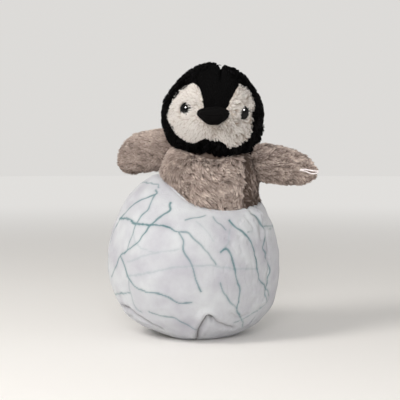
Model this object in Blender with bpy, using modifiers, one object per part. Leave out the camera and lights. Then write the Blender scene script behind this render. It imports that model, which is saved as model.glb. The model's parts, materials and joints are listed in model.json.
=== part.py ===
"""Plush penguin chick sitting in the padded pocket of a plush, cracked egg shell.

Metres, +Z up. The origin is the centre of the flat round base the toy stands on, and the
penguin's belly faces -Y. The penguin leans a little in its pocket, and its head is turned.
Left and right are the penguin's own: its left is +X.
"""
from math import cos, pi, radians, sin, sqrt

import bmesh
import bpy
from mathutils import Matrix, Vector

# ---- driving dimensions -------------------------------------------------------------
GAP = 0.0004                    # room left between neighbouring pieces
SEAM_ROOM = 0.0002              # room left on each side of a seam's plane
FABRIC = 0.0015                 # plush fabric, backing and trodden pile
THIN_FABRIC = 0.0011            # flippers, beak and pocket lining

SHELL_RADIUS = 0.0552           # egg shell at its widest
SHELL_WIDEST_Z = 0.046
BASE_RADIUS = 0.024             # flat round under the shell
SHELL_SEAM_ANGLE = radians(-13)  # one side seam; the other is opposite
SEAM_GAP_ANGLE = radians(0.4)
BASE_SEAM = 0.001               # how far a round base panel stays inside its seam
# powers of the rounded outline below and above the widest place
SHELL_BELOW, SHELL_ABOVE = (2.4, 1.6), (1.9, 2.05)
# height of the shell's broken rim, going round from +X
RIM_HEIGHTS = (
    (6, 0.0862), (18, 0.0868), (63, 0.0900), (108, 0.0970), (158, 0.1030), (200, 0.1050),
    (222, 0.1025), (243, 0.0965), (268, 0.0877), (290, 0.0838), (318, 0.0827), (348, 0.0848),
)
BEAN_BAG_RADIUS = 0.0222
BEAN_BAG_TOP_Z = 0.0138
BEAN_BAG_EDGE = 0.006
WADDING_LIP = (0.0016, 0.0030)  # the padding's top, out from the pocket and below the rim
WADDING_TOP = 0.0036            # the padding against the lining, below the rim
RECESS_STEP = 0.0003

POCKET_FLOOR = Vector((0.0070, -0.0040, 0.0205))
LEAN = radians(3.5)             # lean of the penguin and its pocket
LEAN_TOWARDS = radians(18)      # direction of that lean, from +X
TORSO_RADIUS = 0.0306
POCKET_PLAY = 0.0009            # room between the body and the pocket round it
LINING_RADIUS = TORSO_RADIUS + POCKET_PLAY
TORSO_TOP = 0.0968              # heights on the penguin are above the pocket's floor
SHOULDER_ROUND = (0.0086, 0.0128)
BOTTOM_ROUND = (0.0128, 0.0220)
BELLY_HALF_ANGLE = radians(64)
NECK_HOLE_RADIUS = 0.0135
NECK_DIP = 0.0012               # how far the shoulders dip towards the neck
NECK_RADIUS = 0.0098
NECK_BOTTOM = 0.085
NECK_CHAMFER = 0.0015
NECK_CLEARANCE = 0.0009         # room for the head to nod on the neck

HEAD_CENTRE = Vector((0, -0.003, 0.1261))
HEAD_SIZE = Vector((0.0310, 0.0290, 0.0278))   # half width, depth and height
HEAD_TURN = radians(18)         # the head looks to the penguin's left at rest
# sideways and up from the head's centre; the toy's right eye sits a little further in
EYE_PLACES = {"left": (0.0186, -0.0006), "right": (-0.0168, -0.0010)}
EYE_RADIUS = 0.0045
EYE_HEIGHT = 0.0030
SHANK_RADIUS = 0.0013
SHANK_END = 0.0012              # past the washer
WASHER = 0.0009
WASHER_INSET = 0.0003           # the washer is this much smaller than the eye
UNDER_FABRIC = 0.0008           # room between the fabric and the washer
HOLE_REACH = (-0.006, 0.003)    # the punched holes run past the fabric both ways
BEAK_CENTRE = Vector((0, -0.0272, -0.0030))
BEAK_SIZE = Vector((0.0100, 0.0122, 0.0054))
BEAK_DROOP = radians(12)
BEAK_REACH = Vector((0.02, 0.03, 0.02))     # a box this big holds the whole beak
BEYOND_HEAD = 0.05

WING_HINGE = Vector((0.0316, 0.002, 0.096))
WING_SWEEP = radians(11)        # flippers point a little backwards at rest
WING_ROOT, WING_TIP = 0.0015, 0.0364
WING_RAISE = {"left": radians(-3), "right": radians(4)}   # the flippers' own tilt
WING_HALF_HEIGHT = 0.0118
WING_EDGE = 0.00145             # half thickness at the sewn edge
WING_BULGE = 0.0030
WING_DROOP = {"left": 0.0046, "right": 0.0026}      # of the tip
WING_FULL_SHARE = 0.3           # of the length, up to the widest place
WING_ROOT_SHARE = 0.80          # of the half height, at the root
WING_TIP_SHARE = 0.16
WING_SEAM_ALLOWANCE = 0.0022
TAG_LENGTH, TAG_HALF_WIDTH, TAG_CORD = 0.0115, 0.0012, 0.0005
TAG_START = 0.0012              # the loop starts this far from its stitches
TAG_PLACE = (0.0258, -0.0054, -0.0046)      # on the left flipper

WALL_HEIGHT = 0.045             # half way up the straight side of the pocket
SHELL_STEPS = 32
# from the base (-1) past the widest place (0) to the rim (1)
SHELL_LEVELS = (-1, -0.95, -0.84, -0.66, -0.36, 0, 0.3, 0.56, 0.76, 0.9, 0.975, 1)
TURN_STEPS = 24
ARC_STEPS = 4
HEAD_FACETS = (30, 18)          # round and up and down
FILLING_FACETS = (24, 14)
BEAK_FACETS = (20, 12)
EYE_STEPS = 16
HOLE_FACETS = 12
BAG_STEPS = 6
TAG_STEPS = 5

PENGUIN = (
    Matrix.Translation(POCKET_FLOOR)
    @ Matrix.Rotation(LEAN, 4, Vector((-sin(LEAN_TOWARDS), cos(LEAN_TOWARDS), 0)))
)
UP_THE_POCKET = PENGUIN.to_3x3() @ Vector((0, 0, 1))
HEAD = PENGUIN @ Matrix.Translation(HEAD_CENTRE) @ Matrix.Rotation(HEAD_TURN, 4, "Z")

# ---- colours (red, green, blue out of 255; roughness) --------------------------------
COLOURS = {
    "shell": ((214, 215, 218), 0.85),
    "lining": ((226, 224, 220), 0.9),
    "wadding": ((240, 240, 238), 0.95),
    "pellets": ((205, 202, 194), 0.7),
    "belly": ((158, 140, 131), 0.9),
    "body": ((140, 124, 115), 0.9),
    "hood": ((10, 9, 10), 0.85),
    "face": ((226, 218, 210), 0.9),
    "beak": ((16, 14, 15), 0.7),
    "eye": ((6, 6, 7), 0.08),
    "washer": ((225, 225, 222), 0.5),
    "cord": ((228, 214, 214), 0.8),
}


# ---- helpers ------------------------------------------------------------------------
def clear_scene():
    for ob in list(bpy.data.objects):
        bpy.data.objects.remove(ob, do_unlink=True)


def new_collection(name):
    collection = bpy.data.collections.new(name)
    bpy.context.scene.collection.children.link(collection)
    return collection


def linear(value):
    value /= 255
    return value / 12.92 if value <= 0.04045 else ((value + 0.055) / 1.055) ** 2.4


def make_material(name):
    rgb, roughness = COLOURS[name]
    material = bpy.data.materials.new(name)
    material.use_nodes = True
    shader = material.node_tree.nodes["Principled BSDF"]
    shader.inputs["Base Color"].default_value = (*map(linear, rgb), 1)
    shader.inputs["Roughness"].default_value = roughness
    shader.inputs["Metallic"].default_value = 0
    return material


def add_object(name, mesh, colour=None, parent=None, at=None):
    """Link a mesh as a part, or as a cutter when it has no colour."""
    ob = bpy.data.objects.new(name, mesh)
    if colour:
        PARTS.objects.link(ob)
        if colour not in MATERIALS:
            MATERIALS[colour] = make_material(colour)
        mesh.materials.append(MATERIALS[colour])
        mesh.shade_smooth()
        mesh.set_sharp_from_angle(angle=radians(40))
    else:
        CUTTERS.objects.link(ob)
        ob.hide_render = True
        ob.display_type = "WIRE"
    if parent:
        ob.parent = parent
    ob.matrix_local = at or Matrix()
    return ob


def add_empty(name, parent, at):
    """A joint's frame: its origin is on the joint's axis."""
    empty = bpy.data.objects.new(name, None)
    empty.empty_display_size = 0.01
    PARTS.objects.link(empty)
    empty.parent = parent
    empty.matrix_local = at
    return empty


def finish_mesh(name, bm):
    mesh = bpy.data.meshes.new(name)
    bm.to_mesh(mesh)
    bm.free()
    return mesh


def loft(name, rings, closed):
    """Skin over rings of points that run round counter-clockwise, from the lowest ring up.

    A closed loft joins each ring round and caps both ends.
    """
    bm = bmesh.new()
    rows = [[bm.verts.new(point) for point in ring] for ring in rings]
    count = len(rows[0])
    for low, high in zip(rows, rows[1:]):
        for i in range(count if closed else count - 1):
            j = (i + 1) % count
            bm.faces.new((low[i], low[j], high[j], high[i]))
    if closed:
        bm.faces.new(list(reversed(rows[0])))
        bm.faces.new(rows[-1])
    return finish_mesh(name, bm)


def profile_mesh(name, profile):
    """A line of points (radius, height) in the XZ plane, for a Screw modifier."""
    bm = bmesh.new()
    verts = [bm.verts.new((radius, 0, height)) for radius, height in profile]
    for a, b in zip(verts, verts[1:]):
        bm.edges.new((a, b))
    return finish_mesh(name, bm)


def turn(ob, steps, sweep=2 * pi):
    screw = ob.modifiers.new("turn", "SCREW")
    screw.axis = "Z"
    screw.angle = sweep
    screw.steps = screw.render_steps = steps
    screw.use_merge_vertices = True
    screw.merge_threshold = 0.00001
    screw.use_smooth_shade = True


def thicken(ob, thickness):
    """Give an open surface its fabric thickness, inwards."""
    solidify = ob.modifiers.new("fabric", "SOLIDIFY")
    solidify.thickness = thickness
    solidify.offset = -1
    solidify.use_even_offset = True


def cut(ob, cutter, operation="DIFFERENCE"):
    boolean = ob.modifiers.new(operation.lower(), "BOOLEAN")
    boolean.operation = operation
    boolean.object = cutter
    boolean.solver = "EXACT"


def ellipsoid(name, size, segments, rings):
    bm = bmesh.new()
    bmesh.ops.create_uvsphere(bm, u_segments=segments, v_segments=rings, radius=1)
    bmesh.ops.scale(bm, vec=size, verts=bm.verts)
    return finish_mesh(name, bm)


def box(name, low, high):
    low, high = Vector(low), Vector(high)
    bm = bmesh.new()
    bmesh.ops.create_cube(bm, size=1)
    bmesh.ops.scale(bm, vec=high - low, verts=bm.verts)
    bmesh.ops.translate(bm, vec=(high + low) / 2, verts=bm.verts)
    return finish_mesh(name, bm)


def cylinder(name, radius, low, high, segments=24):
    bm = bmesh.new()
    bmesh.ops.create_cone(
        bm, cap_ends=True, segments=segments, radius1=radius, radius2=radius, depth=high - low
    )
    bmesh.ops.translate(bm, vec=(0, 0, (high + low) / 2), verts=bm.verts)
    return finish_mesh(name, bm)


def prism(name, outline, front, back):
    """An outline of (x, z) points, run through from y = front to y = back."""
    bm = bmesh.new()
    face = bm.faces.new([bm.verts.new((x, front, z)) for x, z in outline])
    grown = bmesh.ops.extrude_face_region(bm, geom=[face])
    moved = [v for v in grown["geom"] if isinstance(v, bmesh.types.BMVert)]
    bmesh.ops.translate(bm, vec=(0, back - front, 0), verts=moved)
    bmesh.ops.recalc_face_normals(bm, faces=bm.faces)
    return finish_mesh(name, bm)


def smooth_line(points, steps, closed=False):
    """A Catmull-Rom curve through the points."""
    count = len(points)

    def at(index):
        return Vector(points[index % count] if closed else points[min(max(index, 0), count - 1)])

    line = []
    for i in range(count if closed else count - 1):
        before, start, end, after = at(i - 1), at(i), at(i + 1), at(i + 2)
        for k in range(steps):
            t = k / steps
            line.append(
                0.5 * (
                    2 * start + (end - before) * t
                    + (2 * before - 5 * start + 4 * end - after) * t ** 2
                    + (3 * start - before - 3 * end + after) * t ** 3
                )
            )
    if not closed:
        line.append(at(count - 1))
    return line


def inset(outline, distance):
    """Move a closed outline inwards, whichever way it runs."""
    count = len(outline)
    area = sum(
        outline[i - 1].x * outline[i].y - outline[i].x * outline[i - 1].y for i in range(count)
    )
    turn_sign = 1 if area > 0 else -1
    moved = []
    for i in range(count):
        along = (outline[(i + 1) % count] - outline[i - 1]).normalized()
        moved.append(outline[i] + Vector((-along.y, along.x)) * turn_sign * distance)
    return moved


# ---- egg shell ----------------------------------------------------------------------
def rim_height(angle):
    """Smooth height of the broken rim, through RIM_HEIGHTS."""
    degrees_round = (angle * 180 / pi) % 360
    table = [(a + lap, z) for lap in (-360, 0, 360) for a, z in RIM_HEIGHTS]
    index = max(i for i, (a, _) in enumerate(table) if a <= degrees_round)
    (_, z0), (a1, z1), (a2, z2), (_, z3) = table[index - 1:index + 3]
    t = (degrees_round - a1) / (a2 - a1)
    return 0.5 * (
        2 * z1 + (z2 - z0) * t + (2 * z0 - 5 * z1 + 4 * z2 - z3) * t ** 2
        + (3 * z1 - z0 - 3 * z2 + z3) * t ** 3
    )


def pocket_point(radius, angle, height):
    """A point round the pocket's leaning axis, at a height above the table."""
    foot = PENGUIN @ Vector((radius * cos(angle), radius * sin(angle), 0))
    return foot + UP_THE_POCKET * ((height - foot.z) / UP_THE_POCKET.z)


def cover_point(angle, t):
    """The outside of the shell: t is -1 at the base, 0 at the widest and 1 at the rim."""
    outwards = Vector((cos(angle), sin(angle), 0))
    if t < 0:
        bulge = max(0, 1 - (-t) ** SHELL_BELOW[0]) ** (1 / SHELL_BELOW[1])
        point = outwards * (BASE_RADIUS + (SHELL_RADIUS - BASE_RADIUS) * bulge)
        point.z = SHELL_WIDEST_Z * (1 + t)
        return point
    rim = pocket_point(LINING_RADIUS + THIN_FABRIC + 2 * GAP, angle, rim_height(angle))
    widest = outwards * SHELL_RADIUS
    bulge = max(0, 1 - t ** SHELL_ABOVE[0]) ** (1 / SHELL_ABOVE[1])
    point = rim + (widest - rim) * bulge
    point.z = SHELL_WIDEST_Z + (rim.z - SHELL_WIDEST_Z) * t
    return point


def under_cover(angle, t, depth):
    """A point at a depth below the outside of the shell."""
    step = 0.002
    round_way = cover_point(angle + step, t) - cover_point(angle - step, t)
    up_way = cover_point(angle, t + step) - cover_point(angle, t - step)
    return cover_point(angle, t) - round_way.cross(up_way).normalized() * depth


def ring_angles():
    return [SHELL_SEAM_ANGLE + 2 * pi * i / SHELL_STEPS for i in range(SHELL_STEPS)]


def bottom_arc(depth, steps=ARC_STEPS):
    """From the flat under the body up to its straight side, at a depth inside the body's skin.

    A negative depth is outside the body, where the pocket is.
    """
    across, up = BOTTOM_ROUND[0] - depth, BOTTOM_ROUND[1] - depth
    flat_radius = TORSO_RADIUS - BOTTOM_ROUND[0]
    side_height = GAP + BOTTOM_ROUND[1]
    return [
        (flat_radius + across * sin(pi / 2 * k / steps),
         side_height - up * cos(pi / 2 * k / steps))
        for k in range(steps + 1)
    ]


def build_shell():
    half = SHELL_STEPS // 2
    for name, start in (
        ("shell_front_panel", SHELL_SEAM_ANGLE - pi),
        ("shell_back_panel", SHELL_SEAM_ANGLE),
    ):
        sweep = pi - 2 * SEAM_GAP_ANGLE
        angles = [start + SEAM_GAP_ANGLE + sweep * i / half for i in range(half + 1)]
        rings = [[cover_point(a, t) for a in angles] for t in SHELL_LEVELS]
        thicken(add_object(name, loft(name, rings, closed=False), "shell"), FABRIC)

    base = cylinder("shell_base_panel", BASE_RADIUS - BASE_SEAM, 0, FABRIC, SHELL_STEPS)
    add_object("shell_base_panel", base, "shell")

    bag_low, bag_high = FABRIC + GAP, BEAN_BAG_TOP_Z
    middle, half_height = (bag_low + bag_high) / 2, (bag_high - bag_low) / 2
    bag = [(0, bag_high)]
    bag += [
        (BEAN_BAG_RADIUS - BEAN_BAG_EDGE * (1 - sin(pi * k / BAG_STEPS)),
         middle + half_height * cos(pi * k / BAG_STEPS))
        for k in range(BAG_STEPS + 1)
    ]
    bag.append((0, bag_low))
    turn(add_object("shell_bean_bag", profile_mesh("shell_bean_bag", bag), "pellets"), TURN_STEPS)

    add_object("shell_lining", lining_mesh(), "lining")
    add_object("shell_wadding", wadding_mesh(), "wadding")


def penguin_ring(radius, height):
    return [
        PENGUIN @ Vector((radius * cos(a), radius * sin(a), height)) for a in ring_angles()
    ]


def rim_ring(radius, below):
    return [pocket_point(radius, a, rim_height(a) - below) for a in ring_angles()]


def lining_mesh():
    """A cup: up its outside from the floor, over the rim and down its inside."""
    outside = LINING_RADIUS + THIN_FABRIC
    rings = [penguin_ring(r, z) for r, z in bottom_arc(-POCKET_PLAY - THIN_FABRIC)]
    rings += [penguin_ring(outside, WALL_HEIGHT), rim_ring(outside, 0)]
    rings += [rim_ring(LINING_RADIUS, 0), penguin_ring(LINING_RADIUS, WALL_HEIGHT)]
    rings += [penguin_ring(r, z) for r, z in reversed(bottom_arc(-POCKET_PLAY))]
    return loft("shell_lining", rings, closed=True)


def wadding_mesh():
    """The padding between cover and lining, with a recess for the pellet bag below."""
    depth = FABRIC + GAP
    recess = BEAN_BAG_RADIUS + GAP
    pocket = LINING_RADIUS + THIN_FABRIC + GAP

    def flat_ring(radius, height):
        return [Vector((radius * cos(a), radius * sin(a), height)) for a in ring_angles()]

    rings = [flat_ring(recess, BEAN_BAG_TOP_Z + GAP), flat_ring(recess, depth + RECESS_STEP)]
    for t in SHELL_LEVELS[1:-2]:
        rings.append([under_cover(a, t, depth) for a in ring_angles()])
    rings.append(rim_ring(pocket + WADDING_LIP[0], WADDING_LIP[1]))
    rings.append(rim_ring(pocket, WADDING_TOP))
    rings.append(penguin_ring(pocket, WALL_HEIGHT))
    wall_depth = TORSO_RADIUS - pocket
    rings += [penguin_ring(r, z) for r, z in reversed(bottom_arc(wall_depth))]
    return loft("shell_wadding", rings, closed=True)


# ---- body ---------------------------------------------------------------------------
def torso_profile(depth):
    """Down the body at a depth inside its skin, from round the neck to the flat under it."""
    across, up = SHOULDER_ROUND[0] - depth, SHOULDER_ROUND[1] - depth
    flat_radius = TORSO_RADIUS - SHOULDER_ROUND[0]
    side_height = TORSO_TOP - SHOULDER_ROUND[1]
    points = [(NECK_HOLE_RADIUS, TORSO_TOP - NECK_DIP - depth)]
    points += [
        (flat_radius + across * sin(pi / 2 * k / ARC_STEPS),
         side_height + up * cos(pi / 2 * k / ARC_STEPS))
        for k in range(ARC_STEPS + 1)
    ]
    points.append((TORSO_RADIUS - depth, WALL_HEIGHT))
    points += list(reversed(bottom_arc(depth)))
    return points


def build_torso(penguin):
    panels = (
        ("belly_panel", "belly", -pi / 2, BELLY_HALF_ANGLE),
        ("torso_back_panel", "body", pi / 2, pi - BELLY_HALF_ANGLE),
    )
    for name, colour, middle, half_angle in panels:
        half_angle -= 2 * SEAM_GAP_ANGLE
        mesh = profile_mesh(name, torso_profile(0))
        at = Matrix.Rotation(middle - half_angle, 4, "Z")
        panel = add_object(name, mesh, colour, penguin, at)
        turn(panel, max(4, round(TURN_STEPS * half_angle / pi)), 2 * half_angle)
        thicken(panel, FABRIC)

    base_radius = TORSO_RADIUS - BOTTOM_ROUND[0] - BASE_SEAM - SEAM_ROOM
    base = cylinder("torso_base_panel", base_radius, GAP, GAP + FABRIC, TURN_STEPS)
    add_object("torso_base_panel", base, "body", penguin)

    inner = torso_profile(FABRIC + GAP)
    inner = [(0, inner[0][1])] + inner + [(0, inner[-1][1])]
    stuffing = add_object(
        "torso_stuffing", profile_mesh("torso_stuffing", inner), "wadding", penguin
    )
    turn(stuffing, TURN_STEPS)
    socket = cylinder("neck_socket", NECK_RADIUS + GAP, NECK_BOTTOM - GAP, TORSO_TOP + 0.01)
    at = Matrix.Translation((HEAD_CENTRE.x, HEAD_CENTRE.y, 0))
    cut(stuffing, add_object("neck_socket", socket, None, penguin, at))


def build_neck(neck):
    """A plug of stuffing; the frame's origin is the head's centre."""
    dish = HEAD_SIZE.y + NECK_CLEARANCE
    bottom = NECK_BOTTOM - HEAD_CENTRE.z
    profile = [
        (NECK_RADIUS * k / 4, -sqrt(dish ** 2 - (NECK_RADIUS * k / 4) ** 2)) for k in range(5)
    ]
    profile.append((NECK_RADIUS, bottom + NECK_CHAMFER))
    profile += [(NECK_RADIUS - NECK_CHAMFER, bottom), (0, bottom)]
    mesh = profile_mesh("neck_stuffing", profile)
    turn(add_object("neck_stuffing", mesh, "wadding", neck), EYE_STEPS)


# ---- head ---------------------------------------------------------------------------
# Each half of the pale face, seen from the front: (sideways, up) from the head's centre.
# The halves aren't quite alike: the one on the toy's right is wider.
FACE_INNER_EDGES = {
    "left": ((0.0071, 0.0030), (0.0094, 0.0062), (0.0118, 0.0110), (0.0140, 0.0146)),
    "right": ((0.0056, 0.0030), (0.0066, 0.0064), (0.0080, 0.0104), (0.0104, 0.0140)),
}
FACE_OUTER_EDGES = {
    "left": (
        (0.0166, 0.0158), (0.0195, 0.0146), (0.0228, 0.0105), (0.0244, 0.0050), (0.0240, -0.0038),
        (0.0243, -0.0100), (0.0224, -0.0155), (0.0178, -0.0192), (0.0129, -0.0208),
        (0.0085, -0.0198), (0.0036, -0.0173),
    ),
    "right": (
        (0.0134, 0.0150), (0.0190, 0.0122), (0.0236, 0.0071), (0.0269, -0.0015),
        (0.0270, -0.0070), (0.0242, -0.0123), (0.0192, -0.0171), (0.0133, -0.0199),
        (0.0083, -0.0192), (0.0034, -0.0168),
    ),
}
FACE_MIDDLE = ((0, -0.0163), (0, -0.0020))    # lowest and highest points of the seam
EDGE_STEPS = 3
CROWN = ((0.0110, 0.0208), (0.0060, 0.0255), (0, 0.0290))


def mirror_line(points):
    return [Vector((-x, z)) for x, z in reversed(points)]


def face_edge(word):
    return smooth_line(FACE_INNER_EDGES[word] + FACE_OUTER_EDGES[word], EDGE_STEPS)


def face_outline(word):
    """One half of the face, all round, with sideways always positive."""
    return face_edge(word) + [Vector(p) for p in FACE_MIDDLE]


def mask_outline():
    """Both halves of the face and the forehead together, as one outline."""
    halves = []
    for word in ("left", "right"):
        edge = face_edge(word)[EDGE_STEPS * len(FACE_INNER_EDGES[word]):]
        halves.append([Vector(p) for p in reversed(CROWN[:-1])] + edge)
    left, right = halves
    return [Vector(CROWN[-1])] + left + [Vector(FACE_MIDDLE[0])] + mirror_line(right)


def forehead_outline():
    halves = []
    for word in ("left", "right"):
        edge = face_edge(word)[:EDGE_STEPS * len(FACE_INNER_EDGES[word]) + 1]
        halves.append(edge + [Vector(p) for p in CROWN[:-1]])
    left, right = halves
    return [Vector(FACE_MIDDLE[1])] + left + [Vector(CROWN[-1])] + mirror_line(right)


def skin(name, colour, head, inner):
    """A hollow head, before it is cut down to one panel."""
    ob = add_object(name, ellipsoid(name, HEAD_SIZE, *HEAD_FACETS), colour, head)
    cut(ob, inner)
    return ob


def eye_frame(word):
    """At an eye, on the head's surface, with +Z pointing straight out of the head."""
    x, z = EYE_PLACES[word]
    a, b, c = HEAD_SIZE
    y = -b * sqrt(1 - (x / a) ** 2 - (z / c) ** 2)
    out = Vector((x / a ** 2, y / b ** 2, z / c ** 2)).normalized()
    return Matrix.Translation((x, y, z)) @ out.to_track_quat("Z", "Y").to_matrix().to_4x4()


def build_eyes(head, panels, stuffing):
    under_panel = -FABRIC - UNDER_FABRIC
    washer_radius = EYE_RADIUS - WASHER_INSET
    dome = [
        (EYE_RADIUS * sin(pi / 2 * k / ARC_STEPS),
         GAP + EYE_HEIGHT * cos(pi / 2 * k / ARC_STEPS))
        for k in range(ARC_STEPS + 1)
    ]
    shank_end = under_panel - WASHER - SHANK_END
    stem = [(SHANK_RADIUS, GAP), (SHANK_RADIUS, shank_end), (0, shank_end)]
    ring = [
        (SHANK_RADIUS + GAP, under_panel), (washer_radius, under_panel),
        (washer_radius, under_panel - WASHER), (SHANK_RADIUS + GAP, under_panel - WASHER),
        (SHANK_RADIUS + GAP, under_panel),
    ]
    for word in EYE_PLACES:
        frame = eye_frame(word)
        name = "eye_" + word
        turn(add_object(name, profile_mesh(name, dome + stem), "eye", head, frame), EYE_STEPS)
        name = "eye_washer_" + word
        turn(add_object(name, profile_mesh(name, ring), "washer", head, frame), EYE_STEPS)
        hole = cylinder("eye_hole_" + word, SHANK_RADIUS + GAP, *HOLE_REACH, HOLE_FACETS)
        cut(panels[word], add_object("eye_hole_" + word, hole, None, head, frame))
        room = cylinder(
            "washer_room_" + word, EYE_RADIUS + SEAM_ROOM, shank_end - GAP, HOLE_REACH[1], EYE_STEPS
        )
        cut(stuffing, add_object("washer_room_" + word, room, None, head, frame))


def build_beak(head):
    grown_head = ellipsoid("beak_root_cutter", HEAD_SIZE + Vector((GAP,) * 3), *HEAD_FACETS)
    keep_off_head = add_object("beak_root_cutter", grown_head, None, head)
    frame = Matrix.Translation(BEAK_CENTRE) @ Matrix.Rotation(BEAK_DROOP, 4, "X")
    shrink = Vector((THIN_FABRIC,) * 3)
    hollow = add_object(
        "beak_hollow", ellipsoid("beak_hollow", BEAK_SIZE - shrink, *BEAK_FACETS), None, head, frame
    )
    x, y, z = BEAK_REACH
    halves = (("beak_top_panel", SEAM_ROOM, z), ("beak_underside_panel", -z, -SEAM_ROOM))
    for name, low, high in halves:
        panel = add_object(name, ellipsoid(name, BEAK_SIZE, *BEAK_FACETS), "beak", head, frame)
        cut(panel, hollow)
        keep = box(name + "_keep", (-x, -y, low), (x, y, high))
        cut(panel, add_object(name + "_keep", keep, None, head, frame), "INTERSECT")
        cut(panel, keep_off_head)
    filling = BEAK_SIZE - shrink - Vector((GAP,) * 3)
    stuffing = add_object(
        "beak_stuffing", ellipsoid("beak_stuffing", filling, *BEAK_FACETS), "wadding", head, frame
    )
    cut(stuffing, keep_off_head)


def build_head(head):
    inner_size = HEAD_SIZE - Vector((FABRIC,) * 3)
    inner = ellipsoid("head_inside", inner_size, *HEAD_FACETS)
    inner = add_object("head_inside", inner, None, head)
    far = BEYOND_HEAD
    mask = add_object("face_opening", prism("face_opening", mask_outline(), -far, 0), None, head)
    for word, side in (("left", 1), ("right", -1)):
        panel = skin("hood_%s_panel" % word, "hood", head, inner)
        low, high = sorted((side * SEAM_ROOM, side * far))
        keep = box("hood_%s_keep" % word, (low, -far, -far), (high, far, far))
        cut(panel, add_object("hood_%s_keep" % word, keep, None, head), "INTERSECT")
        cut(panel, mask)

    outline = inset(forehead_outline(), GAP)
    panel = skin("forehead_panel", "hood", head, inner)
    keep = prism("forehead_keep", outline, -far, -SEAM_ROOM)
    cut(panel, add_object("forehead_keep", keep, None, head), "INTERSECT")

    faces = {}
    for word, side in (("left", 1), ("right", -1)):
        outline = [Vector((side * p.x, p.y)) for p in inset(face_outline(word), GAP)]
        faces[word] = skin("face_%s_panel" % word, "face", head, inner)
        keep = prism("face_%s_keep" % word, outline, -far, -SEAM_ROOM)
        cut(faces[word], add_object("face_%s_keep" % word, keep, None, head), "INTERSECT")

    filling = inner_size - Vector((GAP,) * 3)
    stuffing = add_object(
        "head_stuffing", ellipsoid("head_stuffing", filling, *FILLING_FACETS), "wadding", head
    )
    build_eyes(head, faces, stuffing)
    build_beak(head)


# ---- flippers -----------------------------------------------------------------------
WING_STATIONS = (0, 0.15, 0.34, 0.54, 0.74, 0.9, 1)


def wing_section(u, droop):
    """Distance from the hinge, middle height, half height and bulge at a share u of the way."""
    along = WING_ROOT + (WING_TIP - WING_ROOT) * u
    if u < WING_FULL_SHARE:
        share = WING_ROOT_SHARE + (1 - WING_ROOT_SHARE) * sin(pi / 2 * u / WING_FULL_SHARE)
    else:
        outer = (u - WING_FULL_SHARE) / (1 - WING_FULL_SHARE)
        share = max(WING_TIP_SHARE, 1 - outer ** 2.4) ** (1 / 2.1)
    bulge = WING_BULGE * max(0.12, sin(pi * min(1, 0.06 + 0.9 * u ** 0.75)))
    return along, -droop * u ** 2, WING_HALF_HEIGHT * share, bulge


def wing_side(u, facing, droop, height_less=0.0, thinner=0.0, points=9):
    """Points across one side of a flipper, from its top edge to its bottom edge."""
    along, middle, height, bulge = wing_section(u, droop)
    height -= height_less
    line = []
    for k in range(points):
        v = cos(pi * k / (points - 1))
        out = max(GAP, WING_EDGE - thinner + bulge * (1 - v * v) ** 0.75)
        line.append(Vector((along, facing * out, middle + height * v)))
    return line


def build_wing(word, wing, front):
    """One flipper; front is +1 when the local +Y side faces forwards, else -1."""
    tilt = Matrix.Rotation(-WING_RAISE[word], 4, "Y")
    droop = WING_DROOP[word]
    for side_word, facing in (("front", front), ("back", -front)):
        name = "wing_%s_%s_panel" % (word, side_word)
        rows = [wing_side(u, facing, droop) for u in WING_STATIONS]
        if facing > 0:
            rows.reverse()
        mesh = loft(name, rows, closed=False)
        thicken(add_object(name, mesh, "body", wing, tilt), THIN_FABRIC)

    name = "wing_%s_stuffing" % word
    less = THIN_FABRIC + GAP
    rings = []
    for u in WING_STATIONS[1:-1]:
        near = wing_side(u, -1, droop, WING_SEAM_ALLOWANCE, less)
        far = wing_side(u, 1, droop, WING_SEAM_ALLOWANCE, less)
        rings.append(near[:-1] + list(reversed(far))[:-1])
    add_object(name, loft(name, rings, closed=True), "wadding", wing, tilt)


def build_tag(tag):
    """A flat loop of cord; the frame's origin is where it is stitched."""
    curve = bpy.data.curves.new("tag_loop", "CURVE")
    curve.dimensions = "3D"
    curve.bevel_depth = TAG_CORD
    curve.bevel_resolution = 1
    spline = curve.splines.new("POLY")
    spline.use_cyclic_u = True
    ends = ((TAG_LENGTH - TAG_HALF_WIDTH, -pi / 2), (TAG_START + TAG_HALF_WIDTH, pi / 2))
    points = []
    for centre, first in ends:
        for k in range(TAG_STEPS + 1):
            a = first + pi * k / TAG_STEPS
            points.append((centre + TAG_HALF_WIDTH * cos(a), 0, TAG_HALF_WIDTH * sin(a)))
    spline.points.add(len(points) - 1)
    for target, point in zip(spline.points, points):
        target.co = (*point, 1)
    holder = bpy.data.objects.new("tag_curve", curve)
    CUTTERS.objects.link(holder)
    shape = holder.evaluated_get(bpy.context.evaluated_depsgraph_get())
    mesh = bpy.data.meshes.new_from_object(shape)
    bpy.data.objects.remove(holder, do_unlink=True)
    add_object("tag_loop", mesh, "cord", tag)


# ---- assembly -----------------------------------------------------------------------
clear_scene()
PARTS = new_collection("plush_penguin_in_egg_shell")
CUTTERS = new_collection("cutters")
MATERIALS = {}

build_shell()
penguin_frame = add_empty("penguin_frame", None, PENGUIN)
build_torso(penguin_frame)
neck_frame = add_empty("neck_frame", penguin_frame, Matrix.Translation(HEAD_CENTRE))
build_neck(neck_frame)
head_frame = add_empty("head_frame", neck_frame, Matrix.Rotation(HEAD_TURN, 4, "Z"))
build_head(head_frame)

left_place = Matrix.Translation(WING_HINGE) @ Matrix.Rotation(WING_SWEEP, 4, "Z")
left_wing = add_empty("wing_left_frame", penguin_frame, left_place)
build_wing("left", left_wing, -1)
right_hinge = Vector((-WING_HINGE.x, WING_HINGE.y, WING_HINGE.z))
right_place = Matrix.Translation(right_hinge) @ Matrix.Rotation(pi - WING_SWEEP, 4, "Z")
right_wing = add_empty("wing_right_frame", penguin_frame, right_place)
build_wing("right", right_wing, 1)

build_tag(add_empty("tag_frame", left_wing, Matrix.Translation(TAG_PLACE)))
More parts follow.
